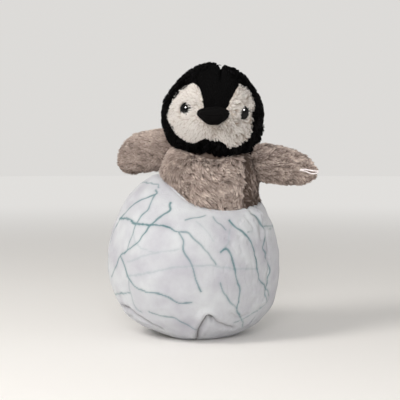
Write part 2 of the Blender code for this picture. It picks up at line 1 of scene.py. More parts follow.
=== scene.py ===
"""Looks of the plush penguin chick in its plush egg shell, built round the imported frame.

Metres, +Z up; the penguin's own left is +X, which is the viewer's right. Every soft piece is a
smooth skin of fabric, and the long pile on it is grown as real tufts of closed, tapered fibres.
"""
import json
from math import cos, pi, radians, sin, sqrt, tau

import bmesh
import bpy
import numpy as np
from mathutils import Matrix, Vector, kdtree


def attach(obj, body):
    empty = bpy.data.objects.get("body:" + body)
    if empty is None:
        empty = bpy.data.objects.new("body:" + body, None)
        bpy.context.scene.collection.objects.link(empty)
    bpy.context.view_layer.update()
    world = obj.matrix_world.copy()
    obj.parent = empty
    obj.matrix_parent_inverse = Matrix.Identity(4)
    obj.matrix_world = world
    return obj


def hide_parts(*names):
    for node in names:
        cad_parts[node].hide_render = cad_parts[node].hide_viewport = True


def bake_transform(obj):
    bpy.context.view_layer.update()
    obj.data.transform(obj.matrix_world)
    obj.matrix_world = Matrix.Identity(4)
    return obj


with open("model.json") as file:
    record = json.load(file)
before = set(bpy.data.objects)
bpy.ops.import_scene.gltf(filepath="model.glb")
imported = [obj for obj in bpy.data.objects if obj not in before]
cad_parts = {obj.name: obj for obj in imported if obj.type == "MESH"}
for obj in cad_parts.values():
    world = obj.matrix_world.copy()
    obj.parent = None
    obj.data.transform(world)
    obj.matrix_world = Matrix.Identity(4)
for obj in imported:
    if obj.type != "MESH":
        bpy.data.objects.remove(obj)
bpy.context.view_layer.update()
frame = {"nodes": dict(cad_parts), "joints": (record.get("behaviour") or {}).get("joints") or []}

MM = 0.001
JOINTS = {joint["name"]: joint for joint in frame["joints"]}

# ---- driving dimensions, the same design as the CAD -----------------------------------
SHELL_RADIUS = 55.2 * MM
SHELL_WIDEST_Z = 46 * MM
BASE_RADIUS = 24 * MM
SHELL_SEAM = radians(-13)       # one side seam; the other is opposite
POCKET_RADIUS = 31.5 * MM
POCKET_RIM_RADIUS = 33.4 * MM
# height of the broken rim in millimetres, going round from +X in degrees
RIM_HEIGHTS = (
    (6, 86.2), (18, 86.8), (63, 90.0), (108, 97.0), (158, 103.0), (200, 105.0),
    (222, 102.5), (243, 96.5), (268, 87.7), (290, 83.8), (318, 82.7), (348, 84.8),
)
HEAD_TURN = radians(18)
HEAD_OFFSET = np.array((0, -3.0, 126.1)) * MM   # head's centre above the pocket's floor
HEAD_RADII = np.array((31.0, 29.0, 27.8)) * MM
TORSO_RADIUS = 30.6 * MM
TORSO_TOP = 96.8 * MM
BELLY_HALF_ANGLE = radians(64)
WING_SWEEP = radians(11)
WING_RAISE = {"left": radians(-3), "right": radians(4)}

# ---- colours, red, green and blue out of 255 ------------------------------------------
SHELL_WHITE = (202, 205, 208)
SHELL_CLOUD = (176, 175, 184)
CREASE_SHADE = (92, 86, 84)
INK_TEAL = (66, 112, 118)
INK_GREY = (150, 164, 170)
LINING_WHITE = (214, 212, 208)
# the dark end of each pile's colours is partly painted shade down among the fibres, and the light
# end partly painted light on their tips
TAUPE_DARK = (88, 73, 64)
TAUPE = (182, 165, 156)
TAUPE_LIGHT = (236, 222, 212)
CREAM_DARK = (148, 128, 108)
CREAM = (240, 235, 230)
CREAM_LIGHT = (255, 252, 248)
BLACK_DEEP = (4, 4, 4)
BLACK = (8, 7, 8)
BLACK_LIGHT = (40, 38, 42)


# ---- numbers and vectors ---------------------------------------------------------------
def unit(vectors):
    vectors = np.asarray(vectors, float)
    length = np.linalg.norm(vectors, axis=-1, keepdims=True)
    return vectors / np.maximum(length, 1e-12)


def smoothstep(low, high, value):
    share = np.clip((value - low) / (high - low), 0, 1)
    return share * share * (3 - 2 * share)


def hill(distance, width):
    """1 at no distance, falling away like a bell over a width."""
    return np.exp(-(distance / width) ** 2)


def full_turn(count):
    """Even angles once round, without the last, which would be the first again."""
    return np.linspace(0, tau, count, endpoint=False)


def around(angle):
    return np.stack((np.cos(angle), np.sin(angle), np.zeros_like(angle)), -1)


def turned(profile, columns, swell=1):
    """Rings round z for a profile of (radius, height), swollen by a share at each angle."""
    ring = around(full_turn(columns)) * np.broadcast_to(swell, columns)[:, None]
    return np.array([ring * radius + np.array((0, 0, height)) for radius, height in profile])


def smooth_between(a, b, c, d, t):
    """A smooth curve from b at t = 0 to c at t = 1, where a and d are the points beyond them."""
    return 0.5 * (
        2 * b + (c - a) * t + (2 * a - 5 * b + 4 * c - d) * t ** 2
        + (3 * b - a - 3 * c + d) * t ** 3
    )


def make_noise(wavelength, seed, waves=14):
    """A smooth random field with a mean of 0 and a spread of about 1."""
    random = np.random.default_rng(seed)
    turns = unit(random.normal(size=(waves, 3))) * tau / wavelength
    turns *= random.uniform(0.7, 1.35, (waves, 1))
    phase = random.uniform(0, tau, waves)

    def noise(points):
        return np.sin(points @ turns.T + phase).sum(-1) * sqrt(2 / waves)

    return noise


def make_swirl(wavelength, seed):
    """A smooth random field of vectors."""
    parts = [make_noise(wavelength, seed + k) for k in range(3)]
    return lambda points: np.stack([part(points) for part in parts], -1)


def rotated(vector, axis, angle):
    vector, axis = np.asarray(vector, float), unit(axis)
    return (
        vector * cos(angle) + np.cross(axis, vector) * sin(angle)
        + axis * (axis @ vector) * (1 - cos(angle))
    )


class Place:
    """A frame on the toy: an origin with an x axis and an upward z axis."""

    def __init__(self, origin, x, z):
        self.origin = np.asarray(origin, float)
        self.axes = np.array((unit(x), unit(np.cross(z, x)), unit(z)))

    def out(self, local):
        return self.origin + np.asarray(local, float) @ self.axes

    def into(self, world):
        return (np.asarray(world, float) - self.origin) @ self.axes.T

    def direction(self, local):
        return np.asarray(local, float) @ self.axes


UP = unit(JOINTS["penguin_lift"]["axis"])
HEAD = Place(JOINTS["head_nod"]["pos_m"], JOINTS["head_nod"]["axis"], UP)
PENGUIN = Place((0, 0, 0), rotated(HEAD.axes[0], UP, -HEAD_TURN), UP)
PENGUIN.origin = HEAD.origin - PENGUIN.direction(HEAD_OFFSET)


def wing_place(word, side):
    """A flipper's frame, with x from its shoulder to its tip; side is 1 for the left."""
    along = rotated(side * PENGUIN.axes[0], UP, side * WING_SWEEP)
    along = rotated(along, PENGUIN.axes[1], -side * WING_RAISE[word])
    return Place(JOINTS[f"wing_{word}_swing"]["pos_m"], along, UP)


WINGS = {word: wing_place(word, side) for word, side in (("left", 1), ("right", -1))}


# ---- meshes ----------------------------------------------------------------------------
def new_mesh(name, points, quads, triangles=()):
    quads = np.asarray(quads, np.int32).reshape(-1, 4)
    triangles = np.asarray(triangles, np.int32).reshape(-1, 3)
    corners = np.concatenate((quads.ravel(), triangles.ravel()))
    starts = np.concatenate(
        (np.arange(len(quads)) * 4, len(quads) * 4 + np.arange(len(triangles)) * 3)
    )
    mesh = bpy.data.meshes.new(name)
    mesh.vertices.add(len(points))
    mesh.vertices.foreach_set("co", np.asarray(points, np.float32).ravel())
    mesh.loops.add(len(corners))
    mesh.loops.foreach_set("vertex_index", corners.astype(np.int32))
    mesh.polygons.add(len(starts))
    mesh.polygons.foreach_set("loop_start", starts.astype(np.int32))
    mesh.update(calc_edges=True)
    mesh.shade_smooth()
    return mesh


def paint(mesh, **values):
    """Store one number for each vertex, for the materials to read."""
    for name, numbers in values.items():
        layer = mesh.attributes.new(name, "FLOAT", "POINT")
        layer.data.foreach_set("value", np.asarray(numbers, np.float32))


def add_piece(mesh, material, slot, body, *stands_for):
    piece = bpy.data.objects.new(mesh.name, mesh)
    bpy.context.scene.collection.objects.link(piece)
    mesh.materials.append(material)
    if stands_for:
        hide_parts(*stands_for)
    if body:
        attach(piece, body)
    return piece


def grid_quads(rows, columns, wrap=True):
    row = np.arange(rows - 1)[:, None] * columns
    column = np.arange(columns if wrap else columns - 1)
    beside = (column + 1) % columns
    low, low_beside = row + column, row + beside
    return np.stack((low, low_beside, low_beside + columns, low + columns), -1).reshape(-1, 4)


class Skin:
    """A surface with its triangles and smooth normals, on which pile can grow."""

    def __init__(self, points, quads, triangles=()):
        self.points = np.asarray(points, float)
        self.quads = np.asarray(quads, int).reshape(-1, 4)
        self.fans = np.asarray(triangles, int).reshape(-1, 3)
        self.triangles = np.concatenate(
            (self.quads[:, (0, 1, 2)], self.quads[:, (0, 2, 3)], self.fans)
        )
        a, b, c = (self.points[self.triangles[:, k]] for k in range(3))
        facing = np.cross(b - a, c - a)
        self.areas = np.linalg.norm(facing, axis=1) / 2
        self.centres = (a + b + c) / 3
        total = np.zeros_like(self.points)
        for k in range(3):
            np.add.at(total, self.triangles[:, k], facing)
        self.normals = unit(total)

    def mesh(self, name):
        return new_mesh(name, self.points, self.quads, self.fans)

    def scatter(self, count, weight, seed):
        """Evenly spread roots, and the skin's normals there, in proportion to a weight."""
        random = np.random.default_rng(seed)
        running = np.cumsum(self.areas * weight(self.centres))
        steps = (np.arange(count) + random.uniform(0.2, 0.8, count)) / count
        chosen = np.searchsorted(running, steps * running[-1])
        chosen = self.triangles[np.minimum(chosen, len(self.triangles) - 1)]
        across = random.uniform(0, 1, (count, 2))
        across = np.where(across.sum(1, keepdims=True) > 1, 1 - across, across)
        shares = np.column_stack((1 - across.sum(1), across))
        roots = (self.points[chosen] * shares[..., None]).sum(1)
        return roots, unit((self.normals[chosen] * shares[..., None]).sum(1))


def grid_normals(grid, wrap=False):
    quads = grid_quads(*grid.shape[:2], wrap)
    return Skin(grid.reshape(-1, 3), quads).normals.reshape(grid.shape)


def closed_skin(rings):
    """Rings from the lowest to the highest, each counter-clockwise, closed at both ends."""
    rows, columns = rings.shape[:2]
    points = np.concatenate((rings.reshape(-1, 3), rings[:1].mean(1), rings[-1:].mean(1)))
    here = np.arange(columns)
    beside = (here + 1) % columns
    top = (rows - 1) * columns
    low_fan = np.stack((beside, here, np.full(columns, rows * columns)), -1)
    high_fan = np.stack((top + here, top + beside, np.full(columns, rows * columns + 1)), -1)
    return Skin(points, grid_quads(rows, columns), np.concatenate((low_fan, high_fan)))


def ball_skin(shape, divisions):
    """A ball of even triangles, with each unit direction moved to where shape puts it."""
    bm = bmesh.new()
    bmesh.ops.create_icosphere(bm, subdivisions=divisions, radius=1)
    directions = unit([vert.co for vert in bm.verts])
    triangles = [[vert.index for vert in face.verts] for face in bm.faces]
    bm.free()
    return Skin(shape(directions), (), triangles)


# ---- pile ------------------------------------------------------------------------------
FIBRE_STOPS = (0, 0.42, 0.78)           # shares along a fibre with a ring of three corners
FIBRE_THICKNESS = (1, 0.95, 0.66)
FIBRE_CORNERS = 3
FIBRE_SINK = 0.3 * MM                   # how far a root is under the skin


def fibre_faces(count):
    """Faces of closed, tapered, three-sided fibres."""
    rings = len(FIBRE_STOPS)
    size = rings * FIBRE_CORNERS + 1
    first = np.arange(count)[:, None, None] * size
    quads = grid_quads(rings, FIBRE_CORNERS)[None] + first
    last = (rings - 1) * FIBRE_CORNERS
    ends = np.array(((2, 1, 0), (last, last + 1, size - 1), (last + 1, last + 2, size - 1),
                     (last + 2, last, size - 1)))
    return quads.reshape(-1, 4), (ends[None] + first).reshape(-1, 3)


def clump_pull(roots, tips, size, random):
    """The way from each tip to the tip in the middle of its tuft, and that tip's index."""
    middles = random.choice(len(roots), max(1, len(roots) // size), replace=False)
    tree = kdtree.KDTree(len(middles))
    for middle in middles:
        tree.insert(roots[middle], middle)
    tree.balance()
    nearest = np.array([tree.find(root)[1] for root in roots])
    return tips[nearest] - tips, nearest


def grow_pile(name, here, roots, normals, comb, length, material, slot, body, stands_for,
              lean, bend, thickness=0.32 * MM, clump=0.55, clump_size=14, tone=0.5,
              tuft_spread=0.10, seed=1):
    """Fibres from the roots chosen by here, which lean as they are combed and gather in tufts."""
    random = np.random.default_rng(seed)
    roots, normals, comb = roots[here], normals[here], comb[here]
    length, lean, bend, clump, tone = (
        np.broadcast_to(value, len(here))[here] for value in (length, lean, bend, clump, tone)
    )
    count = len(roots)
    comb = unit(comb - (comb * normals).sum(1, keepdims=True) * normals)
    length = length * random.uniform(0.76, 1.14, count)
    lean = lean + random.normal(0, 0.10, count)

    stops = (*FIBRE_STOPS, 1)
    spine = [roots - normals * FIBRE_SINK]
    for before, after in zip(stops, stops[1:]):
        angle = (lean + bend * (before + after) / 2)[:, None]
        heading = normals * np.cos(angle) + comb * np.sin(angle)
        spine.append(spine[-1] + heading * (length * (after - before))[:, None])
    pull, middle = clump_pull(roots, spine[-1], clump_size, random)
    pull = pull * clump[:, None]
    spine = [point + pull * stop ** 1.6 for point, stop in zip(spine, stops)]

    rings = []
    for k, share in enumerate(FIBRE_THICKNESS):
        heading = unit(spine[k + 1] - spine[k])
        side = unit(np.cross(heading, normals + comb * 0.01))
        other = np.cross(heading, side)
        radius = thickness / 2 * share * random.uniform(0.85, 1.15, (count, 1))
        for corner in range(FIBRE_CORNERS):
            turn = tau * corner / FIBRE_CORNERS
            rings.append(spine[k] + (side * cos(turn) + other * sin(turn)) * radius)
    points = np.stack((*rings, spine[-1]), 1).reshape(-1, 3)
    quads, ends = fibre_faces(count)
    mesh = new_mesh(name, points, quads, ends)

    tuft_tone = random.normal(0, tuft_spread, count)[middle]
    # each fibre's own tone, which also carries any painted shade or light given for its region
    own_tone = tone + tuft_tone + random.normal(0, 0.07, count)
    along = np.array([stop for stop in FIBRE_STOPS for _ in range(FIBRE_CORNERS)] + [1.0])
    paint(mesh, tone=np.repeat(own_tone, len(along)), along=np.tile(along, count))
    return add_piece(mesh, material, slot, body, *stands_for)


# ---- materials -------------------------------------------------------------------------
def linear(rgb):
    share = np.asarray(rgb, float) / 255
    low, high = share / 12.92, ((share + 0.055) / 1.055) ** 2.4
    return (*np.where(share <= 0.04045, low, high), 1)


class Nodes:
    """Short ways to add nodes to one material."""

    def __init__(self, name):
        self.material = bpy.data.materials.new(name)
        self.material.use_nodes = True
        self.tree = self.material.node_tree
        self.shader = self.tree.nodes["Principled BSDF"]

    def feed(self, node, inputs):
        """Give each named input of a node its value or a link."""
        for name, value in inputs.items():
            if hasattr(value, "is_output"):
                self.tree.links.new(value, node.inputs[name])
            else:
                node.inputs[name].default_value = value

    def add(self, kind, output, inputs, **settings):
        """Add a node and give back one of its outputs."""
        node = self.tree.nodes.new(kind)
        for name, value in settings.items():
            setattr(node, name, value)
        self.feed(node, inputs)
        return node.outputs[output]

    def math(self, operation, a, b):
        return self.add("ShaderNodeMath", 0, {0: a, 1: b}, operation=operation)

    def weighted(self, start, *parts):
        """A start plus each value times its weight."""
        for value, weight in parts:
            start = self.math("ADD", start, self.math("MULTIPLY", value, weight))
        return start

    def mix(self, share, a, b):
        return self.add("ShaderNodeMix", 2, {0: share, 6: a, 7: b}, data_type="RGBA")

    def reading(self, name):
        return self.add("ShaderNodeAttribute", "Fac", {}, attribute_name=name)

    def place(self, stretch=(1, 1, 1)):
        place = self.add("ShaderNodeTexCoord", "Object", {})
        return self.add("ShaderNodeMapping", "Vector", {"Vector": place, "Scale": stretch})

    def noise(self, size, detail=2, stretch=(1, 1, 1)):
        """Noise whose blotches are about as wide as size."""
        inputs = {"Vector": self.place(stretch), "Scale": 1 / size, "Detail": detail}
        return self.add("ShaderNodeTexNoise", "Fac", inputs)

    def ramp(self, share, *stops):
        colour = self.add("ShaderNodeValToRGB", "Color", {0: share})
        band = colour.node.color_ramp
        while len(band.elements) < len(stops):
            band.elements.new(0.5)
        for element, (place, shade) in zip(band.elements, stops):
            element.position = place
            element.color = shade
        return colour

    def bump(self, height, distance, strength):
        inputs = {"Height": height, "Distance": distance, "Strength": strength}
        self.feed(self.shader, {"Normal": self.add("ShaderNodeBump", "Normal", inputs)})

    def finish(self, colour, roughness, sheen=0.0, sheen_tint=(255, 255, 255), specular=0.2):
        self.feed(self.shader, {
            "Base Color": colour, "Roughness": roughness, "Specular IOR Level": specular,
            "Sheen Weight": sheen, "Sheen Roughness": 0.5, "Sheen Tint": linear(sheen_tint),
        })
        return self.material


def two_tone(name, dark, light, size, detail=2, stretch=(1, 1, 1)):
    """A new material's nodes, a slow noise, and a colour that goes with that noise."""
    nodes = Nodes(name)
    share = nodes.noise(size, detail, stretch)
    return nodes, share, nodes.mix(share, linear(dark), linear(light))


def pile_material(name, dark, middle, light, sheen=0.15, specular=0.2):
    """Fibres darker at the root and lighter at the tip, as painted shade and light, varying from
    tuft to tuft.
    """
    nodes = Nodes(name)
    # painted shade at each fibre's root and painted light at its tip, by the share along the
    # fibre; the tone value adds painted shade and light for some regions
    share = nodes.weighted(
        -0.22, (nodes.reading("along"), 0.56), (nodes.noise(7 * MM, 3), 0.30),
        (nodes.reading("tone"), 0.5),
    )
    colour = nodes.ramp(share, (0.0, linear(dark)), (0.52, linear(middle)), (1.0, linear(light)))
    return nodes.finish(colour, 0.8, sheen, light, specular)


def knit_material(name, dark, light, grain=0.5 * MM, depth=0.25 * MM, sheen=0.2, specular=0.2):
    """Backing fabric or short-napped fabric: fine loops and slow shading."""
    nodes, _, colour = two_tone(name, dark, light, 9 * MM, 4)
    nodes.bump(nodes.noise(grain), depth, 0.7)
    return nodes.finish(colour, 0.9, sheen, light, specular)


def shell_material():
    """Short velvety nap with soft grey clouds, printed with teal and faint grey cracks, and
    painted shade in its creases.
    """
    nodes = Nodes("shell_plush_print")
    clouds = nodes.ramp(nodes.noise(16 * MM, 4), (0.35, (0, 0, 0, 1)), (0.75, (1, 1, 1, 1)))
    base = nodes.mix(clouds, linear(SHELL_WHITE), linear(SHELL_CLOUD))
    nap = nodes.noise(0.9 * MM, 3, (1, 1, 0.45))
    base = nodes.mix(nodes.math("MULTIPLY", nap, 0.16), base, linear(SHELL_CLOUD))
    bleed = nodes.weighted(0.62, (nodes.noise(4 * MM), 0.5))
    faint = nodes.math("MULTIPLY", nodes.reading("faint"), bleed)
    colour = nodes.mix(faint, base, linear(INK_GREY))
    ink = nodes.math("MINIMUM", nodes.math("MULTIPLY", nodes.reading("ink"), bleed), 1.0)
    colour = nodes.mix(ink, colour, linear(INK_TEAL))
    # painted shade in the depths of the shell's creases
    colour = nodes.mix(nodes.reading("crease"), colour, linear(CREASE_SHADE))
    nodes.bump(nodes.weighted(nap, (nodes.noise(0.45 * MM), 0.5)), 0.35 * MM, 0.6)
    return nodes.finish(colour, 0.9, 0.25)


def eye_material():
    nodes, _, colour = two_tone("eye_gloss", (3, 3, 3), (9, 8, 8), 3 * MM)
    roughness = nodes.weighted(0.03, (nodes.noise(1 * MM), 0.05))
    return nodes.finish(colour, roughness, specular=0.22)


def plastic_material():
    nodes, _, colour = two_tone("washer_plastic", (218, 218, 214), (232, 232, 229), 4 * MM)
    nodes.bump(nodes.noise(0.6 * MM), 0.03 * MM, 0.4)
    return nodes.finish(colour, 0.45, specular=0.5)


def satin_material():
    """Twisted white satin cord, with its strands along x."""
    nodes, strands, colour = two_tone(
        "satin_cord", (226, 214, 214), (252, 248, 248), 0.35 * MM, 2, (0.25, 1, 1)
    )
    nodes.bump(strands, 0.15 * MM, 0.5)
    return nodes.finish(colour, 0.35, 0.3, specular=0.5)


TAUPE_PILE = pile_material("taupe_pile", TAUPE_DARK, TAUPE, TAUPE_LIGHT)
CREAM_PILE = pile_material("cream_pile", CREAM_DARK, CREAM, CREAM_LIGHT)
BLACK_PILE = pile_material("black_pile", BLACK_DEEP, BLACK, BLACK_LIGHT, 0, 0.06)
TAUPE_KNIT = knit_material("taupe_knit", (96, 82, 73), (132, 116, 107))
CREAM_KNIT = knit_material("cream_knit", (196, 184, 172), (224, 216, 207))
BLACK_KNIT = knit_material("black_knit", BLACK_DEEP, BLACK, sheen=0, specular=0.03)
BEAK_FABRIC = knit_material("beak_fabric", (3, 2, 2), (7, 6, 6), 0.4 * MM, 0.12 * MM, 0, 0.05)
LINING_FABRIC = knit_material("lining_fabric", (200, 198, 194), LINING_WHITE)
SHELL_FABRIC = shell_material()
EYE_GLOSS = eye_material()
WASHER_PLASTIC = plastic_material()
SATIN = satin_material()


# ---- egg shell -------------------------------------------------------------------------
def rim_height(angle):
    """Smooth height of the broken rim above the table."""
    angle = np.degrees(angle) % 360
    table = np.array([(a + lap, z * MM) for lap in (-360, 0, 360) for a, z in RIM_HEIGHTS])
    index = np.searchsorted(table[:, 0], angle, side="right") - 1
    t = (angle - table[index, 0]) / (table[index + 1, 0] - table[index, 0])
    return smooth_between(*(table[index + k, 1] for k in (-1, 0, 1, 2)), t)


def pocket_point(radius, angle, height):
    """Points round the pocket's leaning axis, at a height above the table."""
    foot = PENGUIN.out(around(angle) * np.asarray(radius)[..., None])
    return foot + UP * ((height - foot[..., 2]) / UP[2])[..., None]


def shell_point(angle, level):
    """The outside of the shell: level is -1 at the base, 0 at the widest and 1 at the rim."""
    level = np.clip(level, -1, 1)
    low = np.clip(1 - np.abs(np.minimum(level, 0)) ** 2.4, 0, 1) ** (1 / 1.6)
    below = around(angle) * (BASE_RADIUS + (SHELL_RADIUS - BASE_RADIUS) * low)[..., None]
    below[..., 2] = SHELL_WIDEST_Z * (1 + np.minimum(level, 0))
    rim = pocket_point(np.full_like(angle, POCKET_RIM_RADIUS), angle, rim_height(angle))
    high = np.clip(1 - np.maximum(level, 0) ** 1.9, 0, 1) ** (1 / 2.05)
    above = rim + (around(angle) * SHELL_RADIUS - rim) * high[..., None]
    above[..., 2] = SHELL_WIDEST_Z + (rim[..., 2] - SHELL_WIDEST_Z) * np.maximum(level, 0)
    return np.where((level < 0)[..., None], below, above)


# printed cracks: width in mm, strength, then places as (degrees round, mm up)
CRACKS = (
    (0.9, 0.75, ((200, 101), (221, 101), (235, 98))),
    (1.0, 0.85, ((235, 97), (239, 94), (230, 88), (223, 83), (217, 77), (210, 69), (206, 61))),
    (0.9, 0.8, ((239, 94), (244, 87), (243, 81), (241, 75), (240, 70), (239, 63), (237, 58))),
    (1.1, 0.9, ((257, 89), (260, 84), (257, 81), (253, 75), (250, 69), (246, 63), (237, 58),
                (229, 54), (223, 46), (213, 39))),
    (1.3, 1.0, ((215, 77), (228, 78), (241, 75), (253, 75), (262, 75), (273, 72))),
    (0.8, 0.75, ((274, 72), (281, 71), (287, 67), (293, 62), (298, 57), (302, 52))),
    (1.0, 0.85, ((274, 72), (279, 66), (280, 60), (285, 54), (288, 46), (290, 39), (292, 35))),
    (1.1, 0.85, ((230, 54), (237, 47), (241, 41), (248, 36), (253, 34), (266, 33), (274, 29),
                 (280, 27), (286, 28))),
    (0.7, 0.55, ((241, 41), (240, 35), (240, 30), (241, 23), (246, 19))),
    (1.0, 0.8, ((200, 26), (210, 27), (229, 30), (240, 32))),
    (0.8, 0.7, ((276, 79), (283, 80), (289, 82))),
    (0.7, 0.6, ((296, 81), (303, 77), (309, 73))),
    (1.2, 0.95, ((312, 79), (317, 74), (326, 68), (330, 61), (333, 51), (335, 44), (341, 37),
                 (356, 27))),
    (1.1, 0.9, ((305, 59), (309, 61), (313, 56), (315, 50), (316, 43), (319, 36), (319, 28),
                (319, 23), (326, 16), (339, 7))),
    (0.9, 0.75, ((305, 40), (309, 32), (315, 26), (320, 22))),
    (1.1, 0.85, ((336, 82), (340, 79), (343, 74), (345, 68), (341, 60), (345, 53), (349, 45),
                 (347, 34), (348, 29), (353, 24))),
    (0.8, 0.7, ((344, 73), (356, 71), (6, 67))),
    (0.9, 0.65, ((322, 13), (332, 15), (338, 18), (347, 19), (356, 25))),
    (0.9, 0.7, ((254, 20), (262, 18), (273, 17), (279, 14), (286, 11), (291, 9))),
    (1.2, 0.9, ((14, 84), (22, 74), (20, 64), (31, 52), (36, 40), (33, 30), (44, 18))),
    (0.9, 0.8, ((22, 74), (36, 70), (48, 62), (66, 60))),
    (1.1, 0.9, ((60, 88), (66, 78), (62, 70), (72, 58), (84, 50), (88, 38), (84, 26))),
    (0.8, 0.7, ((84, 50), (98, 46), (110, 36), (124, 33))),
    (1.1, 0.85, ((112, 95), (108, 84), (116, 74), (114, 62), (124, 52), (134, 44), (136, 28))),
    (0.9, 0.8, ((116, 74), (132, 70), (142, 60), (158, 56))),
    (1.1, 0.9, ((150, 101), (156, 90), (150, 82), (160, 70), (170, 60), (168, 46), (178, 34))),
    (0.8, 0.7, ((182, 96), (184, 84), (194, 76), (196, 62), (206, 52), (202, 40))),
    (0.8, 0.7, ((36, 40), (50, 36), (60, 26), (74, 22))),
    (0.8, 0.7, ((168, 46), (184, 44), (196, 34), (202, 26))),
)
FAINT_CRACKS = (
    (1.2, 0.5, ((238, 42), (249, 44), (262, 47), (275, 50), (298, 51), (311, 49), (335, 47))),
    (1.1, 0.45, ((239, 51), (261, 58), (277, 61))),
    (0.9, 0.4, ((284, 78), (292, 74), (300, 66))),
    (1.0, 0.5, ((305, 59), (311, 66), (312, 73))),
    (0.9, 0.45, ((240, 70), (248, 62), (262, 58))),
    (1.3, 0.5, ((10, 50), (40, 46), (70, 44), (100, 60))),
    (1.2, 0.5, ((120, 84), (150, 66), (180, 68), (200, 82))),
    (1.2, 0.45, ((100, 24), (130, 20), (160, 26), (190, 52))),
)
CRACK_WOBBLE = 0.20 * MM


def crack_line(places, steps=8):
    """The places as a smooth, slightly wavering line of points on the shell."""
    places = np.array(places, float)
    places = np.concatenate((places[:1], places, places[-1:]))
    t = np.arange(steps)[None, :, None] / steps
    curve = smooth_between(*(places[k:len(places) - 3 + k, None] for k in range(4)), t)
    curve = np.concatenate((curve.reshape(-1, 2), places[-1:]))
    angle, height = radians(1) * curve[:, 0], MM * curve[:, 1]
    waver = CRACK_WOBBLE * make_swirl(7 * MM, 12)(shell_at_height(angle, height))
    return shell_at_height(angle + waver[:, 0] / SHELL_RADIUS, height + waver[:, 1])


def shell_at_height(angle, height):
    """The point of the shell's outside at a height."""
    rim = pocket_point(np.full_like(angle, POCKET_RIM_RADIUS), angle, rim_height(angle))[..., 2]
    up = (height - SHELL_WIDEST_Z) / (rim - SHELL_WIDEST_Z)
    return shell_point(angle, np.where(height < SHELL_WIDEST_Z, height / SHELL_WIDEST_Z - 1, up))


def line_distance(points, line):
    """Distance from each point to a line of points, and the share along the line there."""
    best = np.full(len(points), 1.0)
    share = np.zeros(len(points))
    near = np.abs(points[:, None, :] - line[None, ::6]).max(2).min(1) < 14 * MM
    close = points[near]
    nearest, at = best[near], share[near]
    for k, (start, end) in enumerate(zip(line, line[1:])):
        along = end - start
        t = np.clip((close - start) @ along / (along @ along), 0, 1)
        distance = np.linalg.norm(close - start - t[:, None] * along, axis=1)
        nearer = distance < nearest
        nearest = np.where(nearer, distance, nearest)
        at = np.where(nearer, (k + t) / (len(line) - 1), at)
    best[near], share[near] = nearest, at
    return best, share


def printed(points, cracks, wander):
    """How strongly the cracks are printed at each point: a firm line in a soft halo."""
    points = points.reshape(-1, 3)
    print_strength = np.zeros(len(points))
    for width, strength, places in cracks:
        distance, share = line_distance(points, crack_line(places))
        distance /= MM
        half = width / 2 * (1 + 0.22 * np.clip(wander, -1.2, 1.8)) * (1 - 0.35 * share)
        ink = 1 - smoothstep(half - 0.20, half + 0.35, distance)
        ink = np.maximum(ink, 0.28 * hill(distance, half + 0.7))
        print_strength = np.maximum(print_strength, ink * strength)
    return print_strength


# creases: depth in mm, darkness of the painted shade in them, then places as (degrees round, mm
# up)
CREASES = (
    (1.9, 0.75, ((291, 0), (293, 9), (298, 18), (302, 16))),
    (1.4, 0.45, ((298, 18), (303, 16), (311, 12), (325, 8))),
    (1.5, 0.55, ((206, 19), (230, 20), (239, 16), (247, 12), (256, 6))),
    (0.8, 0.30, ((214, 14), (230, 13), (241, 8))),
    (0.9, 0.25, ((336, 84), (341, 76), (339, 66))),
    (0.8, 0.20, ((316, 20), (322, 17), (331, 17))),
)
# how the hand-stuffed shell differs from an even egg: degrees round, mm up, mm out, mm wide
STUFFING_LUMPS = (
    (18, 77, -1.7, 20), (20, 40, 1.1, 22), (20, 16, 2.6, 16), (200, 40, 1.2, 26),
    (206, 16, -1.0, 12), (262, 54, 0.9, 22), (305, 74, -0.9, 14), (150, 60, 0.8, 20),
    (346, 82, 2.0, 6), (228, 92, 0.8, 12),
)
DIMPLES_FROM, DIMPLES_TO = 285, 330     # the nap is more dimpled on this side, degrees round
BASE_LIFT = 2.6 * MM                    # the base curls up a little on one side
LIFTED_SIDE = radians(198)


def crease_distance(points, places):
    """Millimetres from each point to a crease."""
    distance, _ = line_distance(points.reshape(-1, 3), crack_line(places))
    return distance.reshape(points.shape[:-1]) / MM


def shell_relief(angle, points):
    """Lumps, soft dents, seams and puckers of the stuffed cover, as a height along the normal."""
    height = points[..., 2] / MM
    relief = 0.35 * make_noise(44 * MM, 3)(points) + 0.16 * make_noise(13 * MM, 4)(points)
    dimpled = smoothstep(DIMPLES_FROM, DIMPLES_TO, np.degrees(angle) % 360)
    relief -= 0.22 * dimpled * np.maximum(make_noise(5.5 * MM, 5)(points), 0)
    for lump_angle, lump_z, out, width in STUFFING_LUMPS:
        centre = shell_at_height(np.array([radians(lump_angle)]), np.array([lump_z * MM]))
        relief += out * hill(np.linalg.norm(points - centre, axis=-1), width * MM)
    relief *= smoothstep(0, 5, rim_height(angle) / MM - height)
    off_seam = np.abs((angle - SHELL_SEAM + pi / 2) % pi - pi / 2) * SHELL_RADIUS / MM
    ripple = np.sin(height * tau / 8.5) * np.sin(height * tau / 31)
    relief += 0.35 * ripple * hill(off_seam - 3, 5) - 0.9 * hill(off_seam, 1.5)
    for depth, _, places in CREASES:
        distance = crease_distance(points, places)
        relief += depth * (0.40 * hill(distance - 3.6, 2.4) - hill(distance, 1.3))
    return relief * MM * smoothstep(0, 4, height)


def crease_shading(points):
    """How dark the painted shade in the depth of a crease is at each point."""
    shade = np.zeros(points.shape[:-1])
    for _, darkness, places in CREASES:
        distance = crease_distance(points, places)
        for share, width in ((1, 0.75), (0.3, 2.2)):
            shade = np.maximum(shade, share * darkness * hill(distance, width))
    return shade.ravel()


